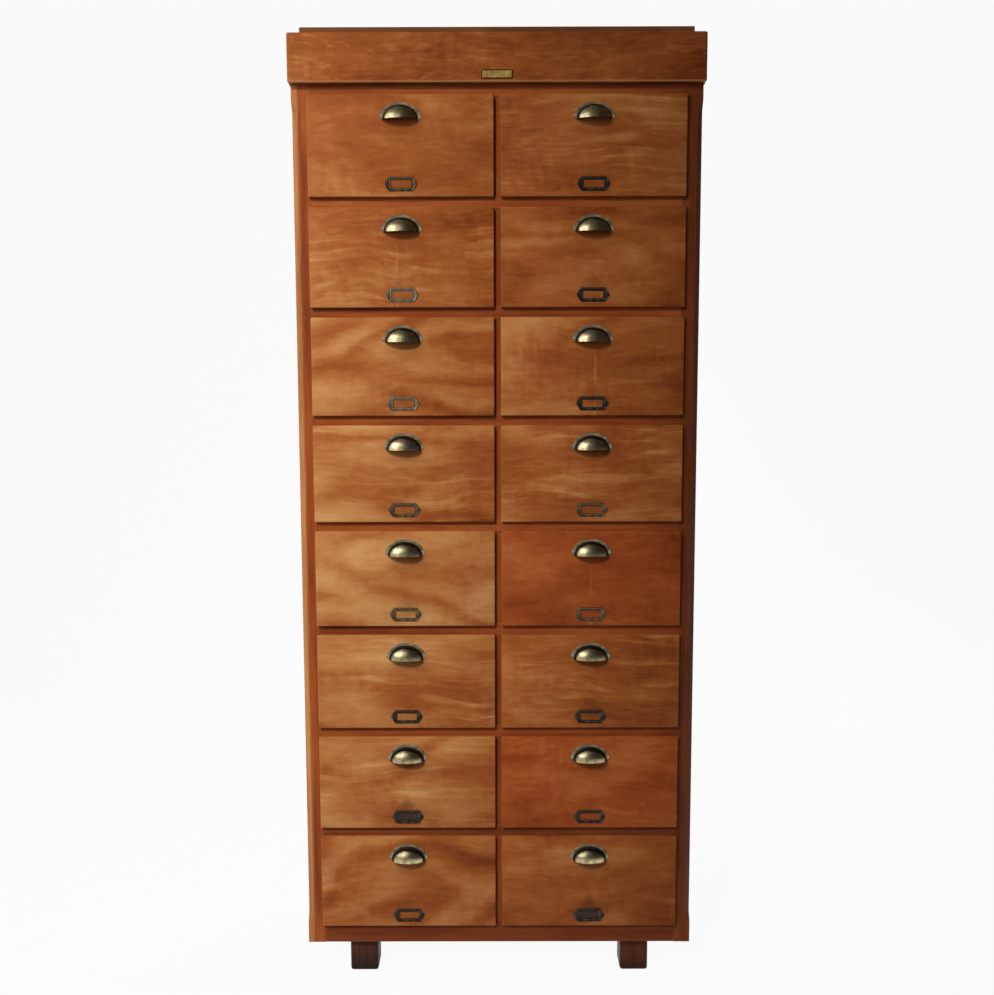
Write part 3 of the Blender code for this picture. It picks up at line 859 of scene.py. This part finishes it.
@dataclass
class Carcass:
    """The framed case: its solids stay and get their finishes."""

    palette: Palette
    nail_radius: float = 0.0026
    nail_rise: float = 0.0008
    nail_sink: float = 0.0002
    nail_inset: float = 0.012
    nail_pitch: float = 0.120
    lip_depth: float = 0.05

    def dress(self) -> None:
        """Give every board its finish and nail the back on."""
        finishes = {
            Finish.STILE: ("side_left", "side_right", "centre_divider"),
            Finish.LIT_EDGE_STILE: ("stile_left",),
            # Dirt and painted shade on the right stile.
            Finish.SHADED_STILE: ("stile_right",),
            Finish.RAIL: ("top_rail", *(f"rail_{row}" for row in range(1, 7))),
            Finish.SHADED_RAIL: ("rail_7",),
            Finish.DARK_RAIL: ("bottom_rail",),
            Finish.INSIDE: ("bottom_board",),
            Finish.BACK: ("back_panel",),
            Finish.TOP: ("top_board",),
            Finish.CORNICE: ("cornice_front",),
            Finish.RETURN: ("cornice_return_left", "cornice_return_right"),
            Finish.FOOT: ("foot_front_left", "foot_rear_left"),
            Finish.RED_FOOT: ("foot_front_right", "foot_rear_right"),
        }
        for finish, names in finishes.items():
            for name in names:
                self._paint(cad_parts[name], finish)
        for name, side in (("side_left", 1), ("side_right", -1), ("centre_divider", 0)):
            self._bare_inside(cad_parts[name], side)
        # Painted light on the left stile's chamfer.
        self._paint_lit_chamfer(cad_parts["stile_left"])
        self._nail_back()

    def _paint(self, node: bpy.types.Object, finish: Finish) -> None:
        """Put a finish on a carcass board."""
        if not node.material_slots:
            node.data.materials.append(None)
        for slot in node.material_slots:
            slot.material = self.palette[finish]
        LOG.info("%s gets %s", node.name, finish.value.name)

    def _bare_inside(self, node: bpy.types.Object, inward: int) -> None:
        """Leave the inner faces of an upright as bare wood.

        Args:
            node: the upright.
            inward: direction of the inside along X, or 0 for both.
        """
        node.data.materials.append(self.palette[Finish.INSIDE])
        last = len(node.material_slots) - 1
        front_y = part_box(node.name)[0].y
        for face in node.data.polygons:
            inside = abs(face.normal.x) > 0.5 and (not inward or face.normal.x * inward > 0)
            if (inside or abs(face.normal.z) > 0.5) and face.center.y > front_y + self.lip_depth:
                face.material_index = last

    def _paint_lit_chamfer(self, node: bpy.types.Object) -> None:
        """Paint the slanting faces of a stile pale: painted light, as the chamfer faces the lamp."""
        node.data.materials.append(self.palette[Finish.LIT_CHAMFER])
        last = len(node.material_slots) - 1
        for face in node.data.polygons:
            if abs(face.normal.x) > 0.4 and face.normal.y < -0.4:
                face.material_index = last

    def _nail_back(self) -> None:
        """Drive a row of nails round the back panel."""
        low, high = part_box("back_panel")
        seat = high.y - self.nail_sink
        head = Shell.dome(self.nail_radius, self.nail_rise, 10, 4)
        shell = Shell()
        for x, z in self._nail_places(low, high):
            shell.rings([[(x + dx, seat + lift, z + dz) for dx, lift, dz in ring] for ring in head], cap=True)
        finishes = [self.palette[Finish.NAIL]]
        Piece("back_nails", shell.done("back_nails"), finishes, CARCASS, "frame_wood").fit()

    def _nail_places(self, low: Vector, high: Vector) -> List[Flat]:
        """Evenly spaced places round the panel, as (x, z)."""
        left, right = low.x + self.nail_inset, high.x - self.nail_inset
        bottom, top = low.z + self.nail_inset, high.z - self.nail_inset
        rows = round((top - bottom) / self.nail_pitch)
        columns = round((right - left) / self.nail_pitch)
        heights = [bottom + (top - bottom) * i / rows for i in range(rows + 1)]
        across = [left + (right - left) * i / columns for i in range(1, columns)]
        upright = [(x, z) for x in (left, right) for z in heights]
        return upright + [(x, z) for z in (bottom, top) for x in across]


@dataclass
class NamePlate:
    """The small bare brass plate on the cornice."""

    palette: Palette
    rim: float = 0.0016
    sink: float = 0.0007
    corner: float = 0.0016
    pin_inset: float = 0.0042
    pin_radius: float = 0.0011

    def build(self) -> None:
        """Make the plate with its dark rim, sunk field and two pins."""
        low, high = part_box("name_plate")
        half_x, half_z = (high.x - low.x) / 2, (high.z - low.z) / 2
        centre = ((low.x + high.x) / 2, high.y, (low.z + high.z) / 2)
        thick = high.y - low.y
        levels = [
            (0.0, 0.0), (0.0, thick * 0.75), (0.0005, thick), (self.rim, thick),
            (self.rim + 0.0003, thick - self.sink), (self.rim + 0.0006, thick - self.sink),
        ]
        loops = []
        for inset, lift in levels:
            outline = self._rounded(half_x - inset, half_z - inset, max(self.corner - inset, 0.0004))
            loops.append([(x, -lift, z) for x, z in outline])
        shell = Shell()
        shell.rings(loops[:5], 0)
        shell.rings(loops[4:], 1)
        for loop, slot in ((loops[-1], 1), (loops[0], 0)):
            face = shell.mesh.faces.new([shell.mesh.verts.new(point) for point in loop])
            face.material_index = slot
        bmesh.ops.remove_doubles(shell.mesh, verts=shell.mesh.verts, dist=1e-6)
        bmesh.ops.recalc_face_normals(shell.mesh, faces=shell.mesh.faces)
        for side in (-1, 1):
            seat = (side * (half_x - self.pin_inset), -thick + self.sink, 0.0)
            shell.slotted_head(seat, self.pin_radius, self.sink, 0.6 * side, 2)
        finishes = [self.palette[f] for f in (Finish.PLATE_RIM, Finish.PLATE, Finish.SCREW)]
        mesh = shell.done("bare_name_plate")
        Piece("bare_name_plate", mesh, finishes, CARCASS, "antique_brass", centre, ("name_plate",)).fit()

    @staticmethod
    def _rounded(half_x: float, half_z: float, radius: float) -> List[Flat]:
        """Corners of a rectangle with rounded corners, four steps each."""
        points = []
        for quarter, (sx, sz) in enumerate(((1, 1), (-1, 1), (-1, -1), (1, -1))):
            for step in range(4):
                angle = math.pi / 2 * (quarter + step / 3)
                points.append((sx * (half_x - radius) + radius * math.cos(angle),
                               sz * (half_z - radius) + radius * math.sin(angle)))
        return points


@dataclass
class CupPull:
    """A half-bowl pull: quarter ellipsoid on a crescent flange with two screws."""

    half_width: float = 0.0440
    height: float = 0.0360
    bowl_half: float = 0.0379
    bowl_height: float = 0.0310
    projection: float = 0.0236
    wall: float = 0.0013
    flange: float = 0.0016
    flange_edge: float = 0.0007
    flange_rim: float = 0.0021
    flange_sink: float = 0.0003
    flange_lap: float = 0.0012
    ear_round: float = 0.0070
    ear_tuck: float = 0.85
    seat: float = 0.0004
    bead: float = 0.0007
    bead_height: float = 0.0045
    tip: float = 0.006
    screw_x: float = 0.0397
    screw_z: float = 0.0085
    screw_radius: float = 0.0021
    screw_rise: float = 0.0012
    arc_steps: int = 56
    bowl_steps: int = 18

    def build(self, turn: float) -> bpy.types.Mesh:
        """Make the pull, with its origin at the middle of its open edge.

        Args:
            turn: angle of the screws' slots.

        Returns:
            The mesh: bowl as slot 0, screws as slot 1, rim as slot 2.
        """
        shell = Shell()
        shell.rings(self._flange_loops(), 2, cap=True)
        shell.rings(self._bowl_loops(), 0, cap=True)
        for side in (-1, 1):
            seat = (side * self.screw_x, -self.flange, self.screw_z)
            shell.slotted_head(seat, self.screw_radius, self.screw_rise, turn * side, 1)
        return shell.done("cup_pull", 40.0)

    def _outer(self, inset: float) -> List[Flat]:
        """Outline of the flange from the right ear over the top to the left one.

        Args:
            inset: how far inside the full outline it lies.

        Returns:
            Its points, as (x, z).
        """
        a, b = self.half_width - inset, self.height - inset
        points = []
        for step in range(self.arc_steps + 1):
            angle = math.pi * step / self.arc_steps
            x, z = a * math.cos(angle), b * math.sin(angle)
            fall = max(0.0, self.ear_round - z)
            tuck = self.ear_round - math.sqrt(self.ear_round ** 2 - fall ** 2)
            points.append((x - math.copysign(tuck * self.ear_tuck, x), max(z, inset)))
        return points

    def _inner(self, inset: float) -> List[Flat]:
        """Outline of the flange along the bowl, in step with the outer one."""
        a, b = self.bowl_half - self.wall - inset, self.bowl_height - self.wall - inset
        turns = [math.pi * step / self.arc_steps for step in range(self.arc_steps + 1)]
        return [(a * math.cos(t), max(b * math.sin(t), 0.0)) for t in turns]

    def _flange_loops(self) -> List[List[Point]]:
        """Rings round the crescent: its outer edge, its face, its inner edge and its back."""
        sunk = self.flange - self.flange_sink
        lines = [
            (self._outer(0.0), 0.0), (self._outer(0.0), self.flange - self.flange_edge),
            (self._outer(self.flange_edge), self.flange), (self._outer(self.flange_rim), sunk),
            (self._inner(-self.flange_lap), sunk), (self._inner(0.0), 0.0),
        ]
        return [list(ring) for ring in zip(*([(x, -lift, z) for x, z in line] for line, lift in lines))]

    def _bowl_loops(self) -> List[List[Point]]:
        """Sections of the bowl's wall from the right ear to the left one."""
        loops = []
        for step in range(self.arc_steps + 1):
            angle = math.pi * (self.tip + (1 - 2 * self.tip) * step / self.arc_steps)
            loops.append(self._section(math.cos(angle), math.sin(angle)))
        return loops

    def _section(self, x: float, reach: float) -> List[Point]:
        """Ring round the wall at one place along the bowl.

        Args:
            x: place along the bowl, from -1 to 1.
            reach: size of the bowl there, from 0 to 1.

        Returns:
            Points down the outside, round the lip and up the inside.
        """
        outside, inside = [], []
        for step in range(self.bowl_steps + 1):
            lean = math.pi / 2 * step / self.bowl_steps
            out, up = math.sin(lean) * reach, math.cos(lean) * reach
            height = up * self.bowl_height
            bead = self.bead * max(0.0, 1 - height / self.bead_height) * min(1.0, out * 4)
            front = -self.seat - out * (self.projection - self.seat) - bead * 0.5
            outside.append((x * self.bowl_half, front, height))
            thin_out = max(out * self.projection - self.wall, self.seat * out)
            thin_up = max(height - self.wall * (up > 0.02), 0.0)
            back = -self.seat - thin_out + bead * 0.4
            inside.append((x * (self.bowl_half - self.wall * 0.9), back, thin_up))
        return outside + inside[::-1]


@dataclass
class LabelFrame:
    """A stamped card holder with pointed ends, two pins and at times a card."""

    half_width: float = 0.0350
    half_height: float = 0.0150
    point: float = 0.0090
    window_half: float = 0.0215
    window_half_height: float = 0.0080
    thickness: float = 0.0020
    blunt: float = 0.00121
    outer_steps: Tuple[Flat, ...] = (
        (0.0, 0.0), (0.0, 0.55), (0.0005, 0.92), (0.0012, 1.0), (0.0021, 0.90), (0.0029, 0.66)
    )
    inner_steps: Tuple[Flat, ...] = (
        (0.0030, 0.66), (0.0022, 0.90), (0.0014, 1.0), (0.0006, 0.92), (0.0, 0.6), (0.0, 0.0)
    )
    card_lap: float = 0.0002
    card_front: float = -0.0007
    card_back: float = -0.0001
    pin_x: float = 0.0292
    pin_radius: float = 0.0016
    pin_rise: float = 0.0008

    def build(self, with_card: bool, turn: float) -> bpy.types.Mesh:
        """Make the frame, with its origin at the middle of its back.

        Args:
            with_card: True where a dark card fills the window.
            turn: angle of the pins' slots.

        Returns:
            The mesh: frame as slot 0, pins as slot 1, card as slot 2.
        """
        shell = Shell()
        levels = [(self._hexagon(inset), share) for inset, share in self.outer_steps]
        levels += [(self._window(outset), share) for outset, share in self.inner_steps]
        loops = []
        for outline, share in levels:
            points = [self._ray(outline, angle) for angle in self._angles()]
            loops.append([(x, -self.thickness * share, z) for x, z in points])
        shell.rings(loops, 0, shut=True)
        for side in (-1, 1):
            seat = (side * self.pin_x, -self.thickness * self.outer_steps[-1][1], 0.0)
            shell.slotted_head(seat, self.pin_radius, self.pin_rise, turn * side, 1)
        if with_card:
            x, z = self.window_half + self.card_lap, self.window_half_height + self.card_lap
            low, high = (-x, self.card_front, -z), (x, self.card_back, z)
            shell.board(low, high, slot=2, ease=0.0001, segments=1)
        return shell.done("label_frame", 30.0)

    def _hexagon(self, inset: float) -> List[Flat]:
        """Corners of the pointed outline, drawn in by an inset."""
        x, z = self.half_width - inset * 1.25, self.half_height - inset
        flat = self.half_width - self.point - inset * 0.6
        return [
            (x, -self.blunt), (x, self.blunt), (flat, z), (-flat, z),
            (-x, self.blunt), (-x, -self.blunt), (-flat, -z), (flat, -z),
        ]

    def _window(self, outset: float) -> List[Flat]:
        """Corners of the window, drawn out by an outset."""
        x, z = self.window_half + outset, self.window_half_height + outset
        return [(x, -z), (x, z), (-x, z), (-x, -z)]

    def _angles(self) -> List[float]:
        """Directions from the middle that meet every corner of both outlines."""
        corners = self._hexagon(0.0) + self._hexagon(self.outer_steps[-1][0])
        corners += self._window(0.0) + self._window(self.inner_steps[0][0])
        found = {round(math.atan2(z, x), 5) for x, z in corners}
        found |= {round(-math.pi + math.pi / 14 * step, 5) for step in range(28)}
        ordered = sorted(found)
        return [a for a, b in zip(ordered, ordered[1:] + [ordered[0] + 2 * math.pi]) if b - a > 0.012]

    @staticmethod
    def _ray(outline: Sequence[Flat], angle: float) -> Flat:
        """Where a ray from the middle leaves an outline.

        Args:
            outline: corners of a shape round the middle.
            angle: direction of the ray.

        Returns:
            The point, as (x, z).
        """
        dx, dz = math.cos(angle), math.sin(angle)
        best = 0.0
        for (ax, az), (bx, bz) in zip(outline, list(outline[1:]) + [outline[0]]):
            ex, ez = bx - ax, bz - az
            det = ex * dz - ez * dx
            if abs(det) < 1e-12:
                continue
            reach = (ex * az - ez * ax) / det
            part = (dx * az - dz * ax) / det
            if reach > 0 and -1e-6 <= part <= 1 + 1e-6:
                best = max(best, reach)
        return best * dx, best * dz


class Figure(Enum):
    """Kinds of veneer figure, as weights of swirls and streaks."""

    PLAIN = (0.25, 0.20)
    MOTTLED = (0.55, 0.35)
    STREAKED = (0.20, 1.00)
    SWIRLED = (1.00, 0.35)
    WAVY = (0.70, 0.90)


class Patina(Enum):
    """Colours of the label frames."""

    PALE = Finish.PALE_BRONZE
    OLIVE = Finish.OLIVE_BRONZE
    BLACK = Finish.BLACK_BRONZE


@dataclass(frozen=True)
class DrawerLook:
    """What sets one drawer apart from the next."""

    figure: Figure
    tone: float
    patina: Patina
    card: bool = False
    drip: float = 0.0
    drip_x: float = 0.0
    smudge: float = 0.0
    # Painted light: how much lighter the front is towards its left side than towards its right.
    light_slope: float = 0.0
    red: float = 0.0


LOOKS: Dict[str, DrawerLook] = {
    "r1_left": DrawerLook(Figure.PLAIN, 0.05, Patina.OLIVE, light_slope=-0.03),
    "r1_right": DrawerLook(Figure.STREAKED, 0.03, Patina.BLACK, light_slope=0.02),
    "r2_left": DrawerLook(Figure.STREAKED, 0.11, Patina.PALE, drip=0.7, drip_x=-0.010, light_slope=0.08),
    "r2_right": DrawerLook(Figure.MOTTLED, -0.03, Patina.BLACK, smudge=0.3),
    "r3_left": DrawerLook(Figure.SWIRLED, 0.05, Patina.PALE, light_slope=0.13),
    "r3_right": DrawerLook(Figure.MOTTLED, 0.03, Patina.BLACK, drip=0.8, drip_x=0.006, light_slope=0.18),
    "r4_left": DrawerLook(Figure.WAVY, 0.25, Patina.OLIVE, light_slope=0.23),
    "r4_right": DrawerLook(Figure.WAVY, 0.04, Patina.OLIVE, smudge=0.2),
    "r5_left": DrawerLook(Figure.SWIRLED, 0.30, Patina.OLIVE, smudge=0.2, light_slope=0.12),
    "r5_right": DrawerLook(Figure.PLAIN, -0.04, Patina.OLIVE, drip=0.4, red=0.5),
    "r6_left": DrawerLook(Figure.WAVY, 0.16, Patina.BLACK),
    "r6_right": DrawerLook(Figure.STREAKED, 0.03, Patina.BLACK, smudge=0.4, light_slope=0.05),
    "r7_left": DrawerLook(Figure.WAVY, 0.20, Patina.BLACK, card=True, smudge=0.6, light_slope=0.05),
    "r7_right": DrawerLook(Figure.PLAIN, -0.04, Patina.BLACK, red=0.6),
    "r8_left": DrawerLook(Figure.SWIRLED, -0.10, Patina.BLACK),
    "r8_right": DrawerLook(Figure.MOTTLED, -0.03, Patina.BLACK, card=True, smudge=0.9, light_slope=0.02),
}


@dataclass
class Drawer:
    """One drawer: figured front, dovetailed tray, label frame and cup pull."""

    palette: Palette
    tag: str
    look: DrawerLook
    front_thickness: float = 0.012
    front_round: float = 0.0025
    overlap: float = 0.004
    seat: float = 0.0003
    depth: float = 0.350
    wall: float = 0.012
    tray_height: float = 0.180
    bottom: float = 0.006
    bottom_lift: float = 0.010
    bottom_short: float = 0.0005
    play: float = 0.0015
    tails: int = 4
    tail_slope: float = 0.0022
    joint_gap: float = 0.0001
    label_lift: float = 0.0115
    label_half: float = 0.015
    seed: float = field(init=False, default=0.0)
    half_front: float = field(init=False, default=0.0)
    front_height: float = field(init=False, default=0.0)
    origin: Point = field(init=False, default=(0.0, 0.0, 0.0))

    @property
    def body(self) -> str:
        """Name of the body that the drawer moves with."""
        return f"drawer_{self.tag}"

    def build(self, number: int) -> None:
        """Make the drawer's pieces and put them on its body.

        Args:
            number: count of the drawer, which sets where its wood was cut.
        """
        low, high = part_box(self.body)
        self.seed = number * 1.37
        self.half_front = (high.x - low.x) / 2
        self.front_height = high.z - low.z
        self.origin = ((low.x + high.x) / 2, high.y - self.depth, low.z + self.overlap)
        self._front()
        self._tray()
        self._label(number)
        self._pull(number)

    def _add(
        self, name: str, mesh: bpy.types.Mesh, finishes: Sequence[Finish], slot: str, at: Point, *stands: str
    ) -> None:
        """Put one of the drawer's pieces in its place.

        Args:
            name: start of the piece's name.
            mesh: its mesh.
            finishes: its finishes, by slot of the mesh.
            slot: its material in the record; not used.
            at: its place in the drawer.
            stands: nodes that it stands for.
        """
        origin = tuple(a + b for a, b in zip(self.origin, at))
        materials = [self.palette[finish] for finish in finishes]
        Piece(f"{name}_{self.tag}", mesh, materials, self.body, slot, origin, stands).fit()

    def _front(self) -> None:
        """The lipped front with its veneer."""
        shell = Shell()
        low = (-self.half_front, -self.seat - self.front_thickness, -self.overlap)
        high = (self.half_front, -self.seat, self.front_height - self.overlap)
        cut = (self.seed * 3.1, self.seed * 1.7, self.seed * 0.9)
        shell.board(low, high, shift=cut, ease=self.front_round, segments=4)
        swirl, streak = self.look.figure.value
        # Painted light: the tone falls from the front's left side to its right.
        light_fall = self.look.light_slope / self.half_front
        shell.store("figure", lambda at: (swirl, streak, self.look.tone - light_fall * at.x))
        shell.store("marks", lambda at: (self.look.drip, self.look.drip_x, self.look.smudge))
        shell.store("stain", lambda at: (self.look.red, 0.0, 0.0))
        self._add("front", shell.done("front"), [Finish.FRONT], "drawer_veneer", (0.0, 0.0, 0.0), self.body)

    def _tray(self) -> None:
        """Sides, ends and bottom, dovetailed at the corners."""
        shell = Shell()
        half = self.half_front - self.overlap - self.play
        inner = half - self.wall
        low, high = self.seat, self.seat + self.tray_height
        floor = low + self.bottom_lift
        start, end = 0.0, self.depth
        for side in (-1, 1):
            ends = sorted((side * half, side * inner))
            shift = (self.seed + side, 0.3 * side, 0.1)
            shell.prism(self._tailed(start, end, low, high), *ends, Grain.DEEP, 0, shift)
            for y, step in ((start, self.wall), (end, -self.wall)):
                for pin in self._pins(y, step, low, high):
                    shell.prism(pin, *ends, Grain.ACROSS, 1, (self.seed, 0.0, 0.2))
        above = floor + self.bottom
        across, under = (self.seed * 1.3, 0.4, 0.0), (self.seed * 0.7, 0.9, 0.6)
        shell.board((-inner, -self.seat, low), (inner, self.wall, high), shift=across)
        shell.board((-inner, end - self.wall, above), (inner, end, high), shift=across)
        shell.board((-inner, self.wall, floor), (inner, end - self.bottom_short, above), shift=under)
        self._add("tray", shell.done("tray"), [Finish.TRAY, Finish.PINS], "inner_wood", (0.0, 0.0, 0.0))

    def _joint(self, low: float, high: float) -> List[Flat]:
        """Middles of the tails' lower and upper edges at mid depth."""
        pitch = (high - low) / self.tails
        return [(low + pitch * (i + 0.16), low + pitch * (i + 0.84)) for i in range(self.tails)]

    def _tailed(self, start: float, end: float, low: float, high: float) -> List[Flat]:
        """Outline of a side, as (y, z), with tails cut on both ends."""
        slope = self.tail_slope / 2
        points = [(end - self.wall, low), (start + self.wall, low)]
        for bottom, top in self._joint(low, high):
            points += [(start + self.wall, bottom + slope), (start, bottom - slope), (start, top + slope),
                       (start + self.wall, top - slope)]
        points += [(start + self.wall, high), (end - self.wall, high)]
        for bottom, top in reversed(self._joint(low, high)):
            points += [(end - self.wall, top - slope), (end, top + slope), (end, bottom - slope),
                       (end - self.wall, bottom + slope)]
        return points

    def _pins(self, y: float, step: float, low: float, high: float) -> List[List[Flat]]:
        """Outlines of the end grain pins between the tails of one corner."""
        slope = self.tail_slope / 2
        inner = y + step - math.copysign(self.joint_gap, step)
        edges = [low] + [z for pair in self._joint(low, high) for z in pair] + [high]
        pins = []
        for i in range(0, len(edges), 2):
            bottom, top = edges[i] + self.joint_gap, edges[i + 1] - self.joint_gap
            down = slope if i else 0.0
            up = slope if i + 2 < len(edges) else 0.0
            pins.append([(y, bottom + down), (inner, bottom - down), (inner, top + up), (y, top - up)])
        return pins

    def _label(self, number: int) -> None:
        """The label frame near the lower edge."""
        mesh = LabelFrame().build(self.look.card, 0.4 + number)
        at = (0.0, -self.seat - self.front_thickness, self.label_lift + self.label_half - self.overlap)
        bronze = self.look.patina.value
        finishes = [bronze, bronze, Finish.DARK_CARD]
        self._add("label_frame", mesh, finishes, "antique_brass", at)

    def _pull(self, number: int) -> None:
        """The cup pull near the upper edge."""
        node = f"cup_pull_{self.tag}"
        low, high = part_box(node)
        mesh = CupPull().build(0.7 * number)
        at = (0.0, high.y - self.origin[1], low.z - self.origin[2])
        self._add("pull", mesh, [Finish.PULL, Finish.SCREW, Finish.PULL_RIM], "antique_brass", at, node)


@dataclass
class Studio:
    """Plain pale sweep, soft light from the left and the camera of the photograph."""

    camera_at: Point = (0.0024, -2.5768, 1.3598)
    yaw: float = -0.0019
    pitch: float = 0.1070
    roll: float = -0.0025
    focal_pixels: float = 1100.0
    sensor: float = 36.0
    sweep_half: float = 9.0
    sweep_back: float = 3.2
    sweep_radius: float = 1.2
    sweep_height: float = 6.0
    key_radius: float = 0.40
    key_cone: float = 0.78
    key_narrow: float = 0.68
    key_colour: Colour = (1.0, 0.97, 0.93)
    paper: float = 0.62
    glow: float = 0.95

    def build(self) -> None:
        """Set up floor, light and camera."""
        self._sweep()
        self._spot("soft_key", at=(-1.6, -4.4, 4.3), aim=(-0.75, -0.20, 1.00), power=880.0)
        self._lamp("left_window", at=(-2.1, -2.1, 2.60), aim=(0.0, -0.2, 1.25), size=(3.2, 2.0), power=45.0)
        self._lamp("back_fill", at=(1.9, 2.4, 2.0), aim=(0.2, 0.2, 1.1), size=(1.5, 1.5), power=45.0)
        self._world()
        self._camera()
        bpy.context.scene.view_settings.view_transform = "Standard"

    def _sweep(self) -> None:
        """Floor that turns up into a wall behind the cabinet."""
        start, radius = self.sweep_back - self.sweep_radius, self.sweep_radius
        profile = [(-self.sweep_half, 0.0), (start, 0.0)]
        for step in range(1, 13):
            angle = math.pi / 2 * step / 12
            profile.append((start + radius * math.sin(angle), radius * (1 - math.cos(angle))))
        profile.append((self.sweep_back, self.sweep_height))
        shape = bmesh.new()
        ends = (-self.sweep_half, self.sweep_half)
        rows = [[shape.verts.new((x, y, z)) for y, z in profile] for x in ends]
        for i in range(len(profile) - 1):
            shape.faces.new((rows[0][i], rows[1][i], rows[1][i + 1], rows[0][i + 1]))
        data = bpy.data.meshes.new("pale_sweep")
        shape.to_mesh(data)
        shape.free()
        data.shade_smooth()
        data.materials.append(self._sweep_finish())
        made = bpy.data.objects.new("pale_sweep", data)
        bpy.context.scene.collection.objects.link(made)

    def _sweep_finish(self) -> bpy.types.Material:
        """Pale paper that shows nearly white and keeps a soft shadow."""
        g = Graph.material("pale_paper")
        path = g.node("ShaderNodeLightPath").socket.node
        rays = ("Is Camera Ray", "Is Glossy Ray", "Is Transmission Ray")
        seen = [Term(g, path.outputs[name]) for name in rays]
        glow = g.node("ShaderNodeEmission", None, {"Color": (1.0, 1.0, 1.0, 1.0), "Strength": 1.0})
        grey = (self.paper, self.paper, self.paper, 1.0)
        g.close({}, {"Base Color": grey, "Roughness": 0.9, "Specular IOR Level": 0.1})
        plain = Term(g, g.shader.outputs[0])
        share = (seen[0] + seen[1] + seen[2]) * self.glow
        both = g.node("ShaderNodeMixShader", None, {0: share, 1: plain, 2: glow})
        g.tree.links.new(both.socket, g.tree.nodes["Material Output"].inputs["Surface"])
        return g.owner

    @staticmethod
    def _hang(name: str, light: bpy.types.Light, at: Point, aim: Point) -> bpy.types.Object:
        """Hang a light and point it.

        Args:
            name: its name.
            light: the light.
            at: where it hangs.
            aim: where it points.

        Returns:
            The lamp.
        """
        lamp = bpy.data.objects.new(name, light)
        lamp.location = at
        lamp.rotation_euler = (Vector(aim) - Vector(at)).to_track_quat("-Z", "Y").to_euler()
        bpy.context.scene.collection.objects.link(lamp)
        return lamp

    def _lamp(self, name: str, at: Point, aim: Point, size: Flat, power: float) -> None:
        """Hang a soft box.

        Args:
            name: its name.
            at: where it hangs.
            aim: where it points.
            size: its width and height.
            power: its power in watts.
        """
        light = bpy.data.lights.new(name, "AREA")
        light.shape = "RECTANGLE"
        light.size, light.size_y = size
        light.energy = power
        self._hang(name, light, at, aim)

    def _spot(self, name: str, at: Point, aim: Point, power: float) -> None:
        """Hang a lamp whose light fades out towards the edge of its tall, narrow cone.

        Args:
            name: its name.
            at: where it hangs.
            aim: where it points.
            power: its power in watts.
        """
        light = bpy.data.lights.new(name, "SPOT")
        light.spot_size = self.key_cone
        light.spot_blend = 1.0
        light.shadow_soft_size = self.key_radius
        light.energy = power
        light.color = self.key_colour
        lamp = self._hang(name, light, at, aim)
        lamp.scale.x = self.key_narrow
        lamp.visible_glossy = False

    @staticmethod
    def _world() -> None:
        """Dim room light, brighter on the left than on the right."""
        g = Graph.world("soft_room")
        side, _, _ = g.parts(g.node("ShaderNodeTexCoord", output="Generated"))
        across = g.node("ShaderNodeMapRange", None, {"Value": side, 1: -1.0, 2: 1.0})
        stops = [(0.05, (0.30, 0.30, 0.30)), (0.42, (0.09, 0.09, 0.09)), (0.66, (0.02, 0.02, 0.02))]
        bpy.context.scene.world = g.close({"Color": g.ramp(across, stops)}, {"Strength": 1.0})

    def _camera(self) -> None:
        """Stand the camera where the photograph was taken from."""
        level = Vector((math.cos(self.yaw), -math.sin(self.yaw), 0.0))
        level_reach = math.cos(self.pitch)
        ahead = Vector((
            math.sin(self.yaw) * level_reach, math.cos(self.yaw) * level_reach, -math.sin(self.pitch),
        ))
        up = level.cross(ahead)
        right = math.cos(self.roll) * level + math.sin(self.roll) * up
        over = -math.sin(self.roll) * level + math.cos(self.roll) * up
        data = bpy.data.cameras.new("photo_camera")
        data.sensor_fit = "VERTICAL"
        data.sensor_height = self.sensor
        data.lens = self.sensor * self.focal_pixels / IMAGE_HEIGHT
        data.clip_end = 60.0
        camera = bpy.data.objects.new("photo_camera", data)
        turn = Matrix((right, over, -ahead)).transposed().to_4x4()
        camera.matrix_world = Matrix.Translation(self.camera_at) @ turn
        bpy.context.scene.collection.objects.link(camera)
        bpy.context.scene.camera = camera


def main() -> None:
    """Dress the carcass, build the drawers and set up the studio."""
    logging.basicConfig(level=logging.INFO, format="%(name)s: %(message)s")
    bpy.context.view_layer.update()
    palette = Palette()
    Studio().build()
    Carcass(palette).dress()
    NamePlate(palette).build()
    for number, (tag, look) in enumerate(LOOKS.items()):
        Drawer(palette, tag, look).build(number)


if __name__ == "__main__":
    main()
